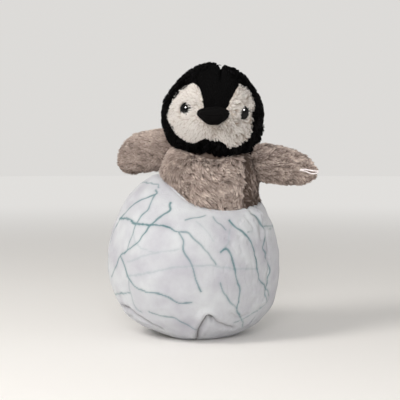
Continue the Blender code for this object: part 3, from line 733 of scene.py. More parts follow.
def curl_base(points):
    """The stuffed egg rests on one side of its base, and the other side lifts a little."""
    away = points @ np.array((cos(LIFTED_SIDE), sin(LIFTED_SIDE), 0))
    lift = smoothstep(4 * MM, 25 * MM, away) * (1 - smoothstep(2 * MM, 16 * MM, points[..., 2]))
    return points + np.array((0, 0, 1)) * (BASE_LIFT * lift)[..., None]


def resample(grid, row, column):
    """A grid of points read at fractional rows and columns, smoothly; columns wrap round."""
    def weights(place, count, wrap):
        table = np.zeros((len(place), count))
        whole = np.floor(place).astype(int)
        for k, alone in enumerate(np.eye(4)):
            index = (whole + k - 1) % count if wrap else np.clip(whole + k - 1, 0, count - 1)
            np.add.at(table, (np.arange(len(place)), index), smooth_between(*alone, place - whole))
        return table

    rows, columns = grid.shape[:2]
    return np.einsum(
        "ra,cb,abk->rck", weights(row, rows, False), weights(column, columns, True), grid
    )


CLOTH_ROWS, CLOTH_COLUMNS = 33, 96
CLOTH_FRAMES = 20
CLOTH_SETTINGS = {
    "quality": 6, "mass": 0.3, "tension_stiffness": 2, "compression_stiffness": 2,
    "shear_stiffness": 2 / 3, "bending_stiffness": 1, "use_pressure": True,
    "uniform_pressure_force": 400,      # on this small a cushion the usual 4 moves nothing
}
SLACK = 1.2 * MM            # how much smaller than the finished shell the cloth starts
MOST_SWELL = 5 * MM


def stuff_shell():
    """Blow the shell's cloth up against its seams; gives each place's swelling on a coarse grid.

    The cover is held along its rim, its base and both side seams, as stitching holds it.
    """
    angle = SHELL_SEAM + tau * np.arange(CLOTH_COLUMNS) / CLOTH_COLUMNS
    level = np.sin(np.linspace(-pi / 2, pi / 2, CLOTH_ROWS))
    angle, level = np.meshgrid(angle, level)
    finished = shell_point(angle, level)
    held = np.zeros(angle.shape)
    held[[0, 1, -2, -1]] = 1
    held[:, [0, CLOTH_COLUMNS // 2]] = 1
    start = finished - grid_normals(finished, True) * (SLACK * (1 - held))[..., None]
    quads = grid_quads(CLOTH_ROWS, CLOTH_COLUMNS)
    mesh = new_mesh("cover_cloth", start.reshape(-1, 3), quads)
    cloth = bpy.data.objects.new("cover_cloth", mesh)
    scene = bpy.context.scene
    scene.collection.objects.link(cloth)
    pins = cloth.vertex_groups.new(name="held")
    for index in np.flatnonzero(held.ravel()):
        pins.add([int(index)], 1.0, "REPLACE")
    simulation = cloth.modifiers.new("stuffing", "CLOTH")
    for name, value in CLOTH_SETTINGS.items():
        setattr(simulation.settings, name, value)
    simulation.settings.effector_weights.gravity = 0
    simulation.settings.vertex_group_mass = "held"
    simulation.point_cache.frame_end = CLOTH_FRAMES
    for step in range(1, CLOTH_FRAMES + 1):
        scene.frame_set(step)
    shape = cloth.evaluated_get(bpy.context.evaluated_depsgraph_get()).data
    swollen = np.zeros(len(shape.vertices) * 3, np.float32)
    shape.vertices.foreach_get("co", swollen)
    scene.frame_set(1)
    bpy.data.objects.remove(cloth, do_unlink=True)
    moved = swollen.reshape(start.shape).astype(float) - start
    reach = np.linalg.norm(moved, axis=-1, keepdims=True)
    moved *= np.minimum(1, MOST_SWELL / np.maximum(reach, 1e-9))
    return start + moved - finished


SHELL_ROWS, SHELL_COLUMNS = 190, 340
SEAM_ROOM = radians(0.25)       # from a panel's edge to the middle of its seam
COVER_THICKNESS = 0.9 * MM
ROLL_STEPS, ROLL_RADIUS = 8, 0.7 * MM
TUCK_DEPTH = 3 * MM             # how far the rolled rim reaches down into the pocket


def shell_panel(name, start, swelling):
    """Half of the printed cover, rolled over at the broken rim."""
    column = np.linspace(start + SEAM_ROOM, start + pi - SEAM_ROOM, SHELL_COLUMNS)
    row = np.linspace(0, 1, SHELL_ROWS)
    angle, level = np.meshgrid(column, np.sin(pi * (row - 0.5)))
    even = shell_point(angle, level)
    rings = even + grid_normals(even) * shell_relief(angle, even)[..., None]
    if swelling is not None:
        cloth_column = (column - SHELL_SEAM) / tau % 1 * CLOTH_COLUMNS
        rings = rings + resample(swelling, row * (CLOTH_ROWS - 1), cloth_column)
    rings = curl_base(rings)

    rim = rings[-1]
    inwards = unit(PENGUIN.origin - rim)
    inwards = unit(inwards - (inwards @ UP)[:, None] * UP)
    rolled = []
    for k in range(1, ROLL_STEPS + 1):
        turn = pi * k / ROLL_STEPS
        rolled.append(rim + (inwards * (1 - cos(turn)) + UP * sin(turn)) * ROLL_RADIUS)
    tuck = rolled[-1] - UP * TUCK_DEPTH - inwards * 0.3 * MM
    outer = np.concatenate((rings, rolled, tuck[None]))
    closed = closed_sheet(outer, outer - grid_normals(outer) * COVER_THICKNESS)
    mesh = closed.mesh(name)
    wander = make_noise(9 * MM, 8)(even.reshape(-1, 3))
    # ink and faint are print; crease is painted shade in the creases
    shades = {
        "ink": printed(even, CRACKS, wander), "faint": printed(even, FAINT_CRACKS, wander),
        "crease": crease_shading(even),
    }
    unprinted = len(closed.points) - len(wander)
    paint(mesh, **{shade: np.pad(values, (0, unprinted)) for shade, values in shades.items()})
    return mesh


def closed_sheet(outer, inner):
    """A sheet with thickness: two grids of points, joined all round their edges."""
    rows, columns = outer.shape[:2]
    count = rows * columns
    quads = grid_quads(rows, columns, False)
    here = np.arange(count).reshape(rows, columns)
    edge = np.concatenate((here[0], here[1:, -1], here[-1, -2::-1], here[-2:0:-1, 0]))
    beside = np.roll(edge, -1)
    sides = np.stack((edge, edge + count, beside + count, beside), -1)
    points = np.concatenate((outer.reshape(-1, 3), inner.reshape(-1, 3)))
    return Skin(points, np.concatenate((quads, quads[:, ::-1] + count, sides)))


POCKET_CORNER_Z = 22.4 * MM         # where the wall starts to curve into the floor
POCKET_CORNER = np.array((13.7, 22.9)) * MM     # the width and depth of that curve
WALL_ROWS, FLOOR_ROWS = 30, 12
LINING_COLUMNS = 200


def shell_lining():
    """The pocket: a soft cup with a few long folds, from the rim down to its floor."""
    angle = full_turn(LINING_COLUMNS)
    rim = rim_height(angle)

    def level_ring(turn):
        inwards, down = POCKET_CORNER * (1 - sin(turn), cos(turn))
        place = np.array((0, 0, POCKET_CORNER_Z - down))
        return PENGUIN.out(around(angle) * (POCKET_RADIUS - inwards) + place)

    near_rim = np.full(LINING_COLUMNS, POCKET_RADIUS - 0.1 * MM)
    cup = [pocket_point(near_rim, angle, rim - (0.3 + 1.2 * k) * MM) for k in range(4)]
    high, low = cup[-1], level_ring(pi / 2)
    cup += [high + (low - high) * k / WALL_ROWS for k in range(1, WALL_ROWS + 1)]
    cup += [level_ring(pi / 2 * (1 - k / FLOOR_ROWS)) for k in range(1, FLOOR_ROWS + 1)]
    cup = np.array(cup)
    outwards = unit(cup - PENGUIN.origin - ((cup - PENGUIN.origin) @ UP)[..., None] * UP)
    fold = 0.25 * MM * make_noise(24 * MM, 21)(cup * np.array((1, 1, 0.3)))
    fade = np.minimum(1, np.arange(len(cup)) / 8)[:, None]
    cup = cup + outwards * ((fold + 0.25 * MM) * fade)[..., None]
    back = cup + outwards * 0.7 * MM
    back[-FLOOR_ROWS - 1:] -= UP * 0.5 * MM
    return closed_skin(np.concatenate((back[::-1], cup))).mesh("pocket_lining")


def shell_base():
    """The flat round under the shell, with a turned edge."""
    edge = 0.7 * MM
    centre = BASE_RADIUS - 0.9 * MM
    profile = [(4 * MM, 0), (12 * MM, 0), (19 * MM, 0)]
    profile += [(centre + edge * sin(pi * k / 8), edge - edge * cos(pi * k / 8)) for k in range(9)]
    profile += [(15 * MM, 2 * edge), (6 * MM, 2 * edge)]
    return closed_skin(curl_base(turned(profile, 96))).mesh("shell_base")


def build_shell():
    swelling = stuff_shell()
    front = shell_panel("shell_front", SHELL_SEAM - pi, swelling)
    back = shell_panel("shell_back", SHELL_SEAM, swelling)
    add_piece(front, SHELL_FABRIC, "shell_plush", "shell", "shell_front_panel", "shell_wadding")
    add_piece(back, SHELL_FABRIC, "shell_plush", "shell", "shell_back_panel")
    add_piece(shell_lining(), LINING_FABRIC, "lining_fabric", "shell", "shell_lining")
    add_piece(shell_base(), LINING_FABRIC, "shell_plush", "shell", "shell_base_panel",
              "shell_bean_bag")


# ---- body ------------------------------------------------------------------------------
SIDE_FOLD = radians(94)         # a second, folded seam on the toy's left side
# its seams: turn from the front, depth in mm
TORSO_SEAMS = ((BELLY_HALF_ANGLE, 3.0), (SIDE_FOLD, 2.6), (-BELLY_HALF_ANGLE, 1.0))


def turn_from_front(angle):
    """Angles round the penguin as turns from its front, to the toy's left above 0."""
    return (angle + pi / 2 + pi) % tau - pi


def rim_above_floor(angle):
    """Height of the shell's rim on the penguin, going round the penguin."""
    world = pocket_point(np.full_like(angle, POCKET_RADIUS), angle, rim_height(angle))
    return PENGUIN.into(world)[..., 2]


def torso_skin():
    """The stuffed body with its seams: rings from the floor of the pocket up to the neck."""
    lower, upper = 22.4, TORSO_TOP / MM - 14.8      # where the curves at the foot and top start
    profile = [(8, 0.5), (12, 0.5), (16, 0.5)]
    profile += [(17.8 + 12.8 * sin(t), lower - 21.8 * cos(t)) for t in np.linspace(0, pi / 2, 22)]
    profile += [(TORSO_RADIUS / MM, z) for z in np.linspace(lower, upper, 68)[1:]]
    profile += [(20 + 10.6 * cos(t), upper + 14 * sin(t)) for t in np.linspace(0, pi / 2, 26)[1:]]
    profile += [(14, 95.4), (8, 95.2)]
    radius, height = np.array(profile).T[..., None]
    angle = full_turn(220)
    in_pocket = 1 - smoothstep(-5, 3, height - rim_above_floor(angle) / MM)
    side = smoothstep(16, 30, radius)
    shape = radius + side * (0.5 - 1.9 * in_pocket)
    for seam, depth in TORSO_SEAMS:
        off_seam = (turn_from_front(angle) - seam) * TORSO_RADIUS / MM
        shape = shape - side * depth * hill(off_seam, 2)
    x, y, _ = np.moveaxis(around(angle) * shape[..., None], -1, 0)
    near_top = smoothstep(upper - 10, upper + 10, height)
    shoulder = hill(np.abs(x) - 23, 9) * (height > upper - 6)
    under_chin = hill(x - 10, 10) * smoothstep(-8, -20, y)
    z = height + (3.6 * shoulder - 4.2 * under_chin) * near_top
    rings = np.stack((x, y, z), -1) * MM
    soft = 0.45 * MM * make_noise(26 * MM, 31)(rings)
    rings[..., :2] *= (1 + soft / TORSO_RADIUS)[..., None]
    return closed_skin(PENGUIN.out(rings))


TORSO_FIBRES = 100000
SIDE_PILE_END = radians(122)


def build_torso():
    skin = torso_skin()
    mesh = skin.mesh("torso_backing")
    add_piece(mesh, TAUPE_KNIT, "body_plush", "torso", "torso_stuffing", "torso_base_panel")

    def places(points):
        """Millimetres on the penguin, the turn from its front, and millimetres above the rim."""
        x, y, z = PENGUIN.into(points).T
        angle = np.arctan2(y, x)
        return x / MM, y / MM, z / MM, turn_from_front(angle), (z - rim_above_floor(angle)) / MM

    def density(points):
        x, y, z, _, above_rim = places(points)
        hidden = (np.hypot(x, y) < 16) & (z < 90)
        return (0.5 + 0.5 * smoothstep(-8, -2, above_rim)) * np.where(hidden, 0.1, 1)

    roots, normals = skin.scatter(TORSO_FIBRES, density, 41)
    x, y, z, turn, above_rim = places(roots)
    free = smoothstep(-14, 5, above_rim)
    ruffled = smoothstep(-17, -1, x)
    swirl = make_swirl(6 * MM, 51)(roots) * 0.60 + make_swirl(19 * MM, 55)(roots) * 0.45
    comb = -UP + swirl * ((0.22 + 0.78 * ruffled) * (0.25 + 0.75 * free))[:, None]
    comb = comb + PENGUIN.axes[0] * (2.4 * hill(x - 8, 17) * hill(z - 76, 12))[:, None]
    on_top = smoothstep(0.55, 0.9, normals @ UP)
    comb = comb + PENGUIN.direction(np.stack((x, y, 0 * z), -1)) * (0.06 * on_top)[:, None]
    seam = (np.abs(turn) - BELLY_HALF_ANGLE) * TORSO_RADIUS / MM
    side_seam = (turn - SIDE_FOLD) * TORSO_RADIUS / MM
    spilling = hill(above_rim - 2.5, 3.5)
    length = MM * (3.5 + 0.6 * free + 1.3 * ruffled * free + 0.5 * spilling)
    length *= 1 - 0.5 * np.maximum(hill(seam, 2.4), hill(side_seam, 2.4))
    lean = 1.30 - 0.58 * free + 0.34 * ruffled * free - 0.15 * spilling
    tone = 0.50 + 0.08 * ruffled + (0.03 + 0.13 * ruffled) * make_noise(4 * MM, 61)(roots)
    # painted shade along the belly seams and the side fold, where their grooves fall into shadow
    tone -= (0.25 + 0.50 * smoothstep(-2, 14, x)) * hill(seam, 2.2) + 0.7 * hill(side_seam, 2.2)
    # painted shade over the toy's left side, which faces away from the key lamp
    tone -= 1.15 * (x > 0) * smoothstep(0.5, 3, seam) * (1 - smoothstep(22, 40, seam))
    # a painted highlight on the ridge beside the side fold, and painted shade on the top of the
    # body under the head
    tone += 0.55 * hill(side_seam + 7, 2.6) - 0.10 * hill(z - TORSO_TOP / MM, 9)

    belly, back = np.abs(turn) < BELLY_HALF_ANGLE, np.abs(turn) >= SIDE_PILE_END
    low = above_rim < 2
    for zone, in_zone, slot, panel in (
        ("belly_pile", belly, "belly_plush", "belly_panel"),
        ("side_pile", ~belly & ~back, "body_plush", "torso_back_panel"),
        ("back_pile", back, "body_plush", "torso_back_panel"),
    ):
        for side, on_side in (("left", x > 0), ("right", x <= 0)):
            for level, at_level in (("", ~low), ("_low", low)):
                grow_pile(
                    zone + level + "_" + side, in_zone & on_side & at_level, roots, normals,
                    comb, length, TAUPE_PILE, slot, "torso", (panel,), lean, 0.12 + 0.48 * free,
                    thickness=0.34 * MM, clump=0.15 + 0.60 * ruffled, clump_size=9, tone=tone,
                    tuft_spread=0.26, seed=71,
                )


NECK_PROFILE = ((9, 88), (12.5, 91), (13, 94), (12.6, 96), (12.4, 98), (11, 99.4), (6, 99.8))


def build_neck():
    """A gathered sleeve between the shoulders and the head."""
    columns, gathers = 96, 16
    gather = 1 + 0.03 * np.cos(full_turn(columns) * gathers)
    rings = turned(np.array(NECK_PROFILE) * MM, columns, gather) + HEAD_OFFSET * (1, 1, 0)
    mesh = closed_skin(PENGUIN.out(rings)).mesh("neck_sleeve")
    piece = add_piece(mesh, TAUPE_KNIT, "body_plush", None, "neck_stuffing")
    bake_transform(piece)


# ---- head ------------------------------------------------------------------------------
# each half of the pale face, seen from the front: (sideways, up) in mm from the head's centre;
# the halves aren't quite alike, and the one on the toy's right is wider
FACE_INNER_EDGES = {
    "left": ((0.4, -2.0), (7.3, 0.8), (9.4, 5.6), (11.8, 10.6), (14.2, 15.0)),
    "right": ((0.4, -2.0), (-5.4, 0.8), (-6.6, 5.2), (-8.2, 10.2), (-10.8, 14.2)),
}
FACE_OUTER_EDGES = {
    "left": (
        (16.8, 15.8), (19.8, 14.6), (23.0, 10.5), (24.6, 5.0), (24.2, -3.8), (24.6, -10.0),
        (22.8, -16.0), (18.0, -20.0), (13.2, -22.3), (8.8, -21.0), (4.1, -18.3), (0.4, -17.4),
    ),
    "right": (
        (-13.4, 15.2), (-19.2, 12.4), (-24.2, 6.6), (-27.8, -1.5), (-28.0, -7.0), (-25.0, -12.6),
        (-19.6, -17.9), (-13.3, -20.8), (-8.3, -20.2), (-3.4, -17.6), (0.4, -17.4),
    ),
}
CROWN = ((-11.0, 20.8), (-6.0, 25.5), (0, 29.0), (6.0, 25.5), (11.0, 20.8))
EYE_PLACES = {"left": (18.6 * MM, -0.6 * MM), "right": (-16.8 * MM, -1.0 * MM)}
EYE_RADIUS = 4.5 * MM
EYE_HEIGHT = 2.3 * MM
EYE_SUNK = 1.2 * MM             # how far the edge of an eye goes into the head
BEAK_CENTRE = np.array((0, -27.2, -3.0)) * MM
BEAK_SIZE = np.array((10.0, 12.2, 5.4)) * MM
BEAK_DROOP = radians(12)
BEAK_ROLL = radians(4)
BEAK_SQUARENESS = 2.6
# how the stuffed head differs from an even one: direction, mm out, width in radians
HEAD_LUMPS = (
    ((0.70, -0.24, -0.66), 5.2, 0.46), ((-0.74, -0.22, -0.66), 3.8, 0.48),     # jowls
    ((0.36, -0.84, -0.42), 1.6, 0.28), ((-0.40, -0.84, -0.40), 1.2, 0.30),     # cheeks
    ((-0.22, -0.20, 0.95), 1.7, 0.36), ((0.30, -0.20, 0.93), 0.9, 0.30),       # crown
    ((-0.80, -0.10, 0.56), -1.6, 0.34), ((0.84, -0.10, 0.52), -0.6, 0.34),     # temples
    ((0.28, -0.62, -0.72), 3.0, 0.34), ((-0.16, -0.60, -0.80), -1.4, 0.14),    # under the chin
    ((-0.72, 0.42, 0.55), -0.8, 0.5), ((0.70, 0.42, 0.55), -0.6, 0.5),
)
CROWN_SEAM = 3.2 * MM           # the seam over the crown runs a little to the toy's left


def head_shape(directions):
    """Skin of the head, in the head's own frame, for unit directions from its centre."""
    points = directions * HEAD_RADII
    x, y, z = directions.T
    swell = np.zeros(len(directions))
    for direction, out, width in HEAD_LUMPS:
        off = np.arccos(np.clip(directions @ unit(direction), -1, 1))
        swell += out * MM * hill(off, width)
    over_crown = smoothstep(0.55, 0.85, z + np.maximum(y, 0)) * (z > -0.2)
    swell -= 2.6 * MM * hill(points[:, 0] - CROWN_SEAM, 1.3 * MM) * over_crown
    ruffled = smoothstep(2, 14, points[:, 0] / MM) * smoothstep(4, -8, points[:, 2] / MM)
    swell += 0.85 * MM * ruffled * (y < 0) * make_noise(7 * MM, 85)(points * (1, 1, 0.6))
    swell += 0.25 * MM * make_noise(18 * MM, 81)(points)
    return points + directions * swell[:, None]


def smooth_outline(points, steps=4):
    """A closed outline of (x, z) through the points, rounded between them."""
    points = np.array(points, float) * MM
    before, after, later = (np.roll(points, k, axis=0) for k in (1, -1, -2))
    t = np.arange(steps)[:, None, None] / steps
    curve = smooth_between(before, points, after, later, t)
    return curve.transpose(1, 0, 2).reshape(-1, 2)


def inside(outline, places):
    """Which places are inside an outline."""
    result = np.zeros(len(places), bool)
    x, z = places.T
    for (x0, z0), (x1, z1) in zip(outline, np.roll(outline, -1, axis=0)):
        crosses = (z0 > z) != (z1 > z)
        if z0 != z1:
            result ^= crosses & (x < (x1 - x0) * (z - z0) / (z1 - z0) + x0)
    return result


FACE_OUTLINES = [
    smooth_outline(FACE_INNER_EDGES[word] + FACE_OUTER_EDGES[word]) for word in ("left", "right")
]
FOREHEAD_OUTLINE = smooth_outline(
    FACE_INNER_EDGES["left"] + CROWN[::-1] + FACE_INNER_EDGES["right"][:0:-1]
)


def on_face(local):
    places = local[:, (0, 2)]
    within = inside(FACE_OUTLINES[0], places) | inside(FACE_OUTLINES[1], places)
    return within & (local[:, 1] < 0)


def face_edge_distance(local):
    """How far each place, seen from the front, is from the nearer edge of the pale face."""
    return np.minimum(*(
        line_distance(local[:, (0, 2)], np.concatenate((outline, outline[:1])))[0]
        for outline in FACE_OUTLINES
    ))


def eye_place(word):
    """Where an eye sits on the skin of the head, and its outward direction."""
    a, b, c = HEAD_RADII
    x, z = EYE_PLACES[word]
    y = -b * sqrt(1 - (x / a) ** 2 - (z / c) ** 2)
    return np.array((x, y, z)), unit((x / a ** 2, y / b ** 2, z / c ** 2))


HEAD_FIBRES = 44000
FACE_PILE_LENGTH, FOREHEAD_PILE_LENGTH = 3.0 * MM, 1.5 * MM
LASH_LENGTH = {"left": 3.8 * MM, "right": 4.2 * MM}


def build_head():
    skin = ball_skin(lambda directions: HEAD.out(head_shape(directions)), 6)
    pale = on_face(HEAD.into(skin.points))
    mesh = skin.mesh("head_backing")
    add_piece(mesh, BLACK_KNIT, "hood_plush", "head", "head_stuffing")
    mesh.materials.append(CREAM_KNIT)
    pale_face = pale[skin.triangles].all(1)
    mesh.polygons.foreach_set("material_index", pale_face.astype(np.int32))

    def density(points):
        return np.where(on_face(HEAD.into(points)), 2.6, 1.0)

    roots, normals = skin.scatter(HEAD_FIBRES, density, 91)
    local = HEAD.into(roots)
    face = on_face(local)
    forehead = inside(FOREHEAD_OUTLINE, local[:, (0, 2)]) & (local[:, 1] < 0) & ~face
    beak_root = np.linalg.norm((local - BEAK_CENTRE) / BEAK_SIZE, axis=1)
    clear = beak_root > 0.92        # no pile grows where the beak or an eye is sewn on
    for word in EYE_PLACES:
        clear &= np.linalg.norm(local - eye_place(word)[0], axis=1) > EYE_RADIUS + 0.1 * MM
    face_pile(roots, normals, local, face & clear, beak_root)
    hood_pile(roots, normals, local, ~face & ~forehead & clear)

    comb = UP + HEAD.axes[1] * 0.5 + make_swirl(8 * MM, 101)(roots) * 0.2
    grow_pile("forehead_pile", forehead & clear, roots, normals, comb, FOREHEAD_PILE_LENGTH,
              BLACK_PILE, "hood_plush", "head", ("forehead_panel",), 0.9, 0.4, clump=0.2,
              tone=-0.2, seed=141)


def lashes(local, word, reach):
    """How much each root is one that shades an eye, and its way towards that eye."""
    towards = eye_place(word)[0] - local
    off = np.linalg.norm(towards, axis=1) - EYE_RADIUS
    return 1 - smoothstep(0.6 * MM, reach, off), unit(towards)


def face_pile(roots, normals, local, chosen, beak_root):
    """Cream pile, combed away from the beak, falling over parts of both eyes."""
    x, _, z = local.T / MM
    away = HEAD.direction(local - BEAK_CENTRE - np.array((0, 0, 2 * MM)))
    ruffled = smoothstep(0, 12, x)
    swirl = make_swirl(7 * MM, 101)(roots) * (0.28 + 0.45 * ruffled)[:, None]
    comb = unit(away) * 1.5 + swirl - UP * 0.25

    right_lash, right_way = lashes(local, "right", 2.2 * MM)
    right_lash = right_lash * ((right_way[:, 0] < -0.25) | (right_way[:, 2] > 0.75))
    left_lash, left_way = lashes(local, "left", 2.6 * MM)
    left_lash = left_lash * (np.abs(left_way[:, 0]) > 0.30)
    for lash, way in ((right_lash, right_way), (left_lash, left_way)):
        comb = comb + HEAD.direction(way) * (9 * lash)[:, None]
    lash = np.maximum(right_lash, left_lash)

    edge = face_edge_distance(local) / MM
    length = FACE_PILE_LENGTH * (0.66 + 0.34 * smoothstep(0, 4, edge)) * (1 + 0.2 * ruffled)
    length *= 0.6 + 0.4 * smoothstep(1.0, 1.7, beak_root)
    length = length * (1 - lash) + np.where(x > 0, *LASH_LENGTH.values()) * lash
    lean = 0.75 - 0.10 * ruffled * (1 - lash) - 0.66 * lash
    waves = make_noise(4.5 * MM, 111)(roots)
    # painted light on the lash fibres over the eyes, and painted shade over the toy's left half of
    # the face, which faces away from the key lamp
    tone = 0.58 + 0.12 * lash + (0.02 + 0.13 * ruffled) * waves - 0.26 * smoothstep(2, 16, x)
    # painted shade along the edge of the face under the hood's tufts, and a painted shadow just
    # below the beak
    tone -= 0.15 * hill(edge, 1) + 0.36 * hill(x - 3, 9) * hill(z + 11, 5.5)
    for word, half, tuft_spread in (("left", x > 0, 0.13), ("right", x <= 0, 0.05)):
        grow_pile(
            "face_pile_" + word, chosen & half, roots, normals, comb, length, CREAM_PILE,
            "face_plush", "head", (f"face_{word}_panel",), lean, 0.45 + 1.45 * lash,
            clump=0.45 + 0.2 * ruffled - 0.4 * lash, clump_size=16, tone=tone,
            tuft_spread=tuft_spread, seed=121,
        )


def hood_pile(roots, normals, local, chosen):
    """Black pile round the face, with tufts lying over the pale panels' upper outer edges."""
    x, y, z = local.T / MM
    front, left = y < 0, x > 0
    comb = -UP * 0.7 + make_swirl(8 * MM, 101)(roots) * 0.8 + HEAD.axes[1] * 0.4
    spill = hill(face_edge_distance(local), 3 * MM) * front * (z > -14)
    spill = spill * (0.4 + 0.6 * smoothstep(-0.2, 0.6, make_noise(3.2 * MM, 105)(roots)))
    inwards = HEAD.direction(np.stack((-x, -6 + 0 * y, -z), -1))
    comb = comb + unit(inwards) * (2.2 * spill)[:, None]
    back = smoothstep(-5, 12, y)
    length = MM * (2.9 + 0.3 * back + 1.3 * spill + 1.1 * smoothstep(-16, -24, z))
    length *= 1 - 0.6 * hill(x - CROWN_SEAM / MM, 2.4) * (z > -10)
    for name, here, nodes in (
        ("hood_pile_left", left & front, ("hood_left_panel",)),
        ("hood_pile_right", ~left & front, ("hood_right_panel",)),
        ("hood_pile_back_left", left & ~front, ()),
        ("hood_pile_back_right", ~left & ~front, ()),
    ):
        grow_pile(
            name, chosen & here, roots, normals, comb, length, BLACK_PILE, "hood_plush", "head",
            # painted light on the back of the hood, which lies in shade
            nodes, 0.55 + 0.25 * spill, 0.5, clump=0.6, tone=0.25 + 0.7 * back,
            tuft_spread=0.12, seed=131,
        )


def eye_dome(name, centre, out):
    """A safety eye: a polished dome with a thin rim."""
    profile = [(EYE_RADIUS * 0.5, -EYE_SUNK), (EYE_RADIUS * 0.98, -EYE_SUNK), (EYE_RADIUS, 0)]
    profile += [
        (EYE_RADIUS * cos(t), 0.3 * MM + EYE_HEIGHT * sin(t))
        for t in np.linspace(0, pi / 2, 14)[:-1]
    ]
    place = Place(HEAD.out(centre), np.cross(HEAD.direction(out), UP), HEAD.direction(out))
    return closed_skin(place.out(turned(profile, 64))).mesh(name)


def build_eyes():
    for word in EYE_PLACES:
        mesh = eye_dome("eye_dome_" + word, *eye_place(word))
        add_piece(mesh, EYE_GLOSS, "eye_gloss", "head", "eye_" + word)
        washer = frame["nodes"]["eye_washer_" + word].data.materials
        washer.clear()
        washer.append(WASHER_PLASTIC)


def beak_shape(directions):
    """A flat-topped, blunt beak that narrows below, with pointed corners and a seam round it."""
    boxy = (np.abs(directions) ** BEAK_SQUARENESS).sum(1) ** (-1 / BEAK_SQUARENESS)
    x, y, z = (directions * boxy[:, None]).T
    narrowing = 1 - 0.36 * smoothstep(0.1, -1.05, z) - 0.06 * smoothstep(0.35, 1.0, z)
    z = np.where(z < 0, z * 1.10, z)
    taper = 1 - 0.16 * smoothstep(-0.2, -1.0, y)
    points = np.stack((x * narrowing * taper, y, z * (1 - 0.12 * smoothstep(0, 1, z))), -1)
    points = points * BEAK_SIZE
    seam = hill(points[:, 2] - 1.1 * MM, 0.35 * MM)
    points = points * (1 - 0.03 * seam)[:, None]
    points = points + directions * (0.15 * MM * make_noise(5 * MM, 151)(points))[:, None]
    for angle, a, b in ((BEAK_DROOP, 1, 2), (-BEAK_ROLL, 2, 0)):
        first = points[:, a] * cos(angle) - points[:, b] * sin(angle)
        second = points[:, a] * sin(angle) + points[:, b] * cos(angle)
        points[:, a], points[:, b] = first, second
    return HEAD.out(points + BEAK_CENTRE)


def build_beak():
    mesh = ball_skin(beak_shape, 6).mesh("beak_cover")
    add_piece(mesh, BEAK_FABRIC, "beak_fabric", "head", "beak_top_panel",
              "beak_underside_panel", "beak_stuffing")


# ---- flippers --------------------------------------------------------------------------
WING_ROOT, WING_TIP = -8.0 * MM, 36.4 * MM
WING_DROOP = {"left": 4.2 * MM, "right": 8.2 * MM}      # at the tip
WING_HITCH = {"left": -1.2 * MM, "right": 4.0 * MM}     # at the shoulder
WING_BLUNTNESS = {"left": 2.4, "right": 4.6}
WING_HALF_HEIGHT = {"left": 11.4 * MM, "right": 12.9 * MM}
WING_FIBRES = 9500


def wing_skin(word):
    """A flat pillow, widest near the body and rounded at its tip."""
    columns, rows = 90, 60
    turn = full_turn(columns)
    u = np.sin(np.linspace(0, pi / 2, rows))
    along = WING_ROOT + (WING_TIP - WING_ROOT) * u
    outer = np.maximum(u - 0.3, 0) / 0.7
    rounded = np.clip(1 - outer ** WING_BLUNTNESS[word], 0, 1) ** (1 / 2.1)
    height = WING_HALF_HEIGHT[word] * rounded * (0.86 + 0.14 * smoothstep(0, 0.3, u))
    half = (1.0 + 3.4 * np.sin(pi * np.minimum(1, 0.08 + 0.88 * u ** 0.8))) * MM
    half *= np.clip(1 - u ** 6, 0.02, 1) * (0.45 + 0.55 * smoothstep(0, 0.18, u))
    rings = np.zeros((rows, columns, 3))
    rings[..., 0] = along[:, None]
    rings[..., 1] = half[:, None] * np.sin(turn)
    middle = WING_HITCH[word] * (1 - u) - WING_DROOP[word] * u ** 2
    rings[..., 2] = middle[:, None] + height[:, None] * np.cos(turn)
    rings[..., 1] += 0.3 * MM * make_noise(14 * MM, 161)(rings)
    rings = rings[:, ::-1].copy()
    rings[-1] = rings[-1].mean(0) + (rings[-1] - rings[-1].mean(0)) * 0.5
    return closed_skin(WINGS[word].out(rings))


def build_wing(word):
    place = WINGS[word]
    skin = wing_skin(word)
    body = "wing_" + word
    bend_between = [place.out((x * MM, 0, 0)) for x in (-3, 5)]
    mesh = skin.mesh(body + "_backing")
    backing = add_piece(mesh, TAUPE_KNIT, "body_plush", None, body + "_stuffing")
    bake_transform(backing)

    roots, normals = skin.scatter(2 * WING_FIBRES, lambda points: np.ones(len(points)), 171)
    local = place.into(roots)
    x = local[:, 0] / MM
    spread = local[:, 2] / WING_HALF_HEIGHT[word]
    ruffled = 1.0 if word == "left" else 0.35
    swirl = make_swirl(7 * MM, 181)(roots) * (0.20 + 0.16 * ruffled)
    comb = place.axes[0] + place.axes[2] * (spread * 0.30)[:, None] + swirl
    length = MM * (3.3 - 0.4 * smoothstep(26, 36, x))
    strands = make_noise(4 * MM, 191)(local * (0.28, 1, 1))
    tone = 0.02 + 0.54 * ruffled + (0.04 + 0.18 * ruffled) * strands
    tone += (0.62 - 0.46 * ruffled) * smoothstep(0.35, 0.80, spread)
    # painted shade along the flipper's underside and at its root against the body
    tone -= 0.30 * smoothstep(-0.45, -1.0, spread) + 0.12 * hill(x, 7)
    forwards = normals @ PENGUIN.axes[1] < 0
    for side, facing in (("front", forwards), ("back", ~forwards)):
        pile = grow_pile(
            f"{body}_{side}_pile", facing & (x > -6), roots, normals, comb, length, TAUPE_PILE,
            "body_plush", None, (f"{body}_{side}_panel",), 0.80, 0.42,
            clump=0.35 + 0.25 * ruffled, tone=tone, tuft_spread=0.10 + 0.10 * ruffled, seed=201,
        )
        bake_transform(pile)


TAG_START, TAG_END = 1.0 * MM, 12.4 * MM
TAG_HALF_WIDTH = 1.25 * MM
TAG_RADIUS = 0.46 * MM
TAG_STEPS, TAG_CORNERS = 64, 16
TAG_TWISTS = 9


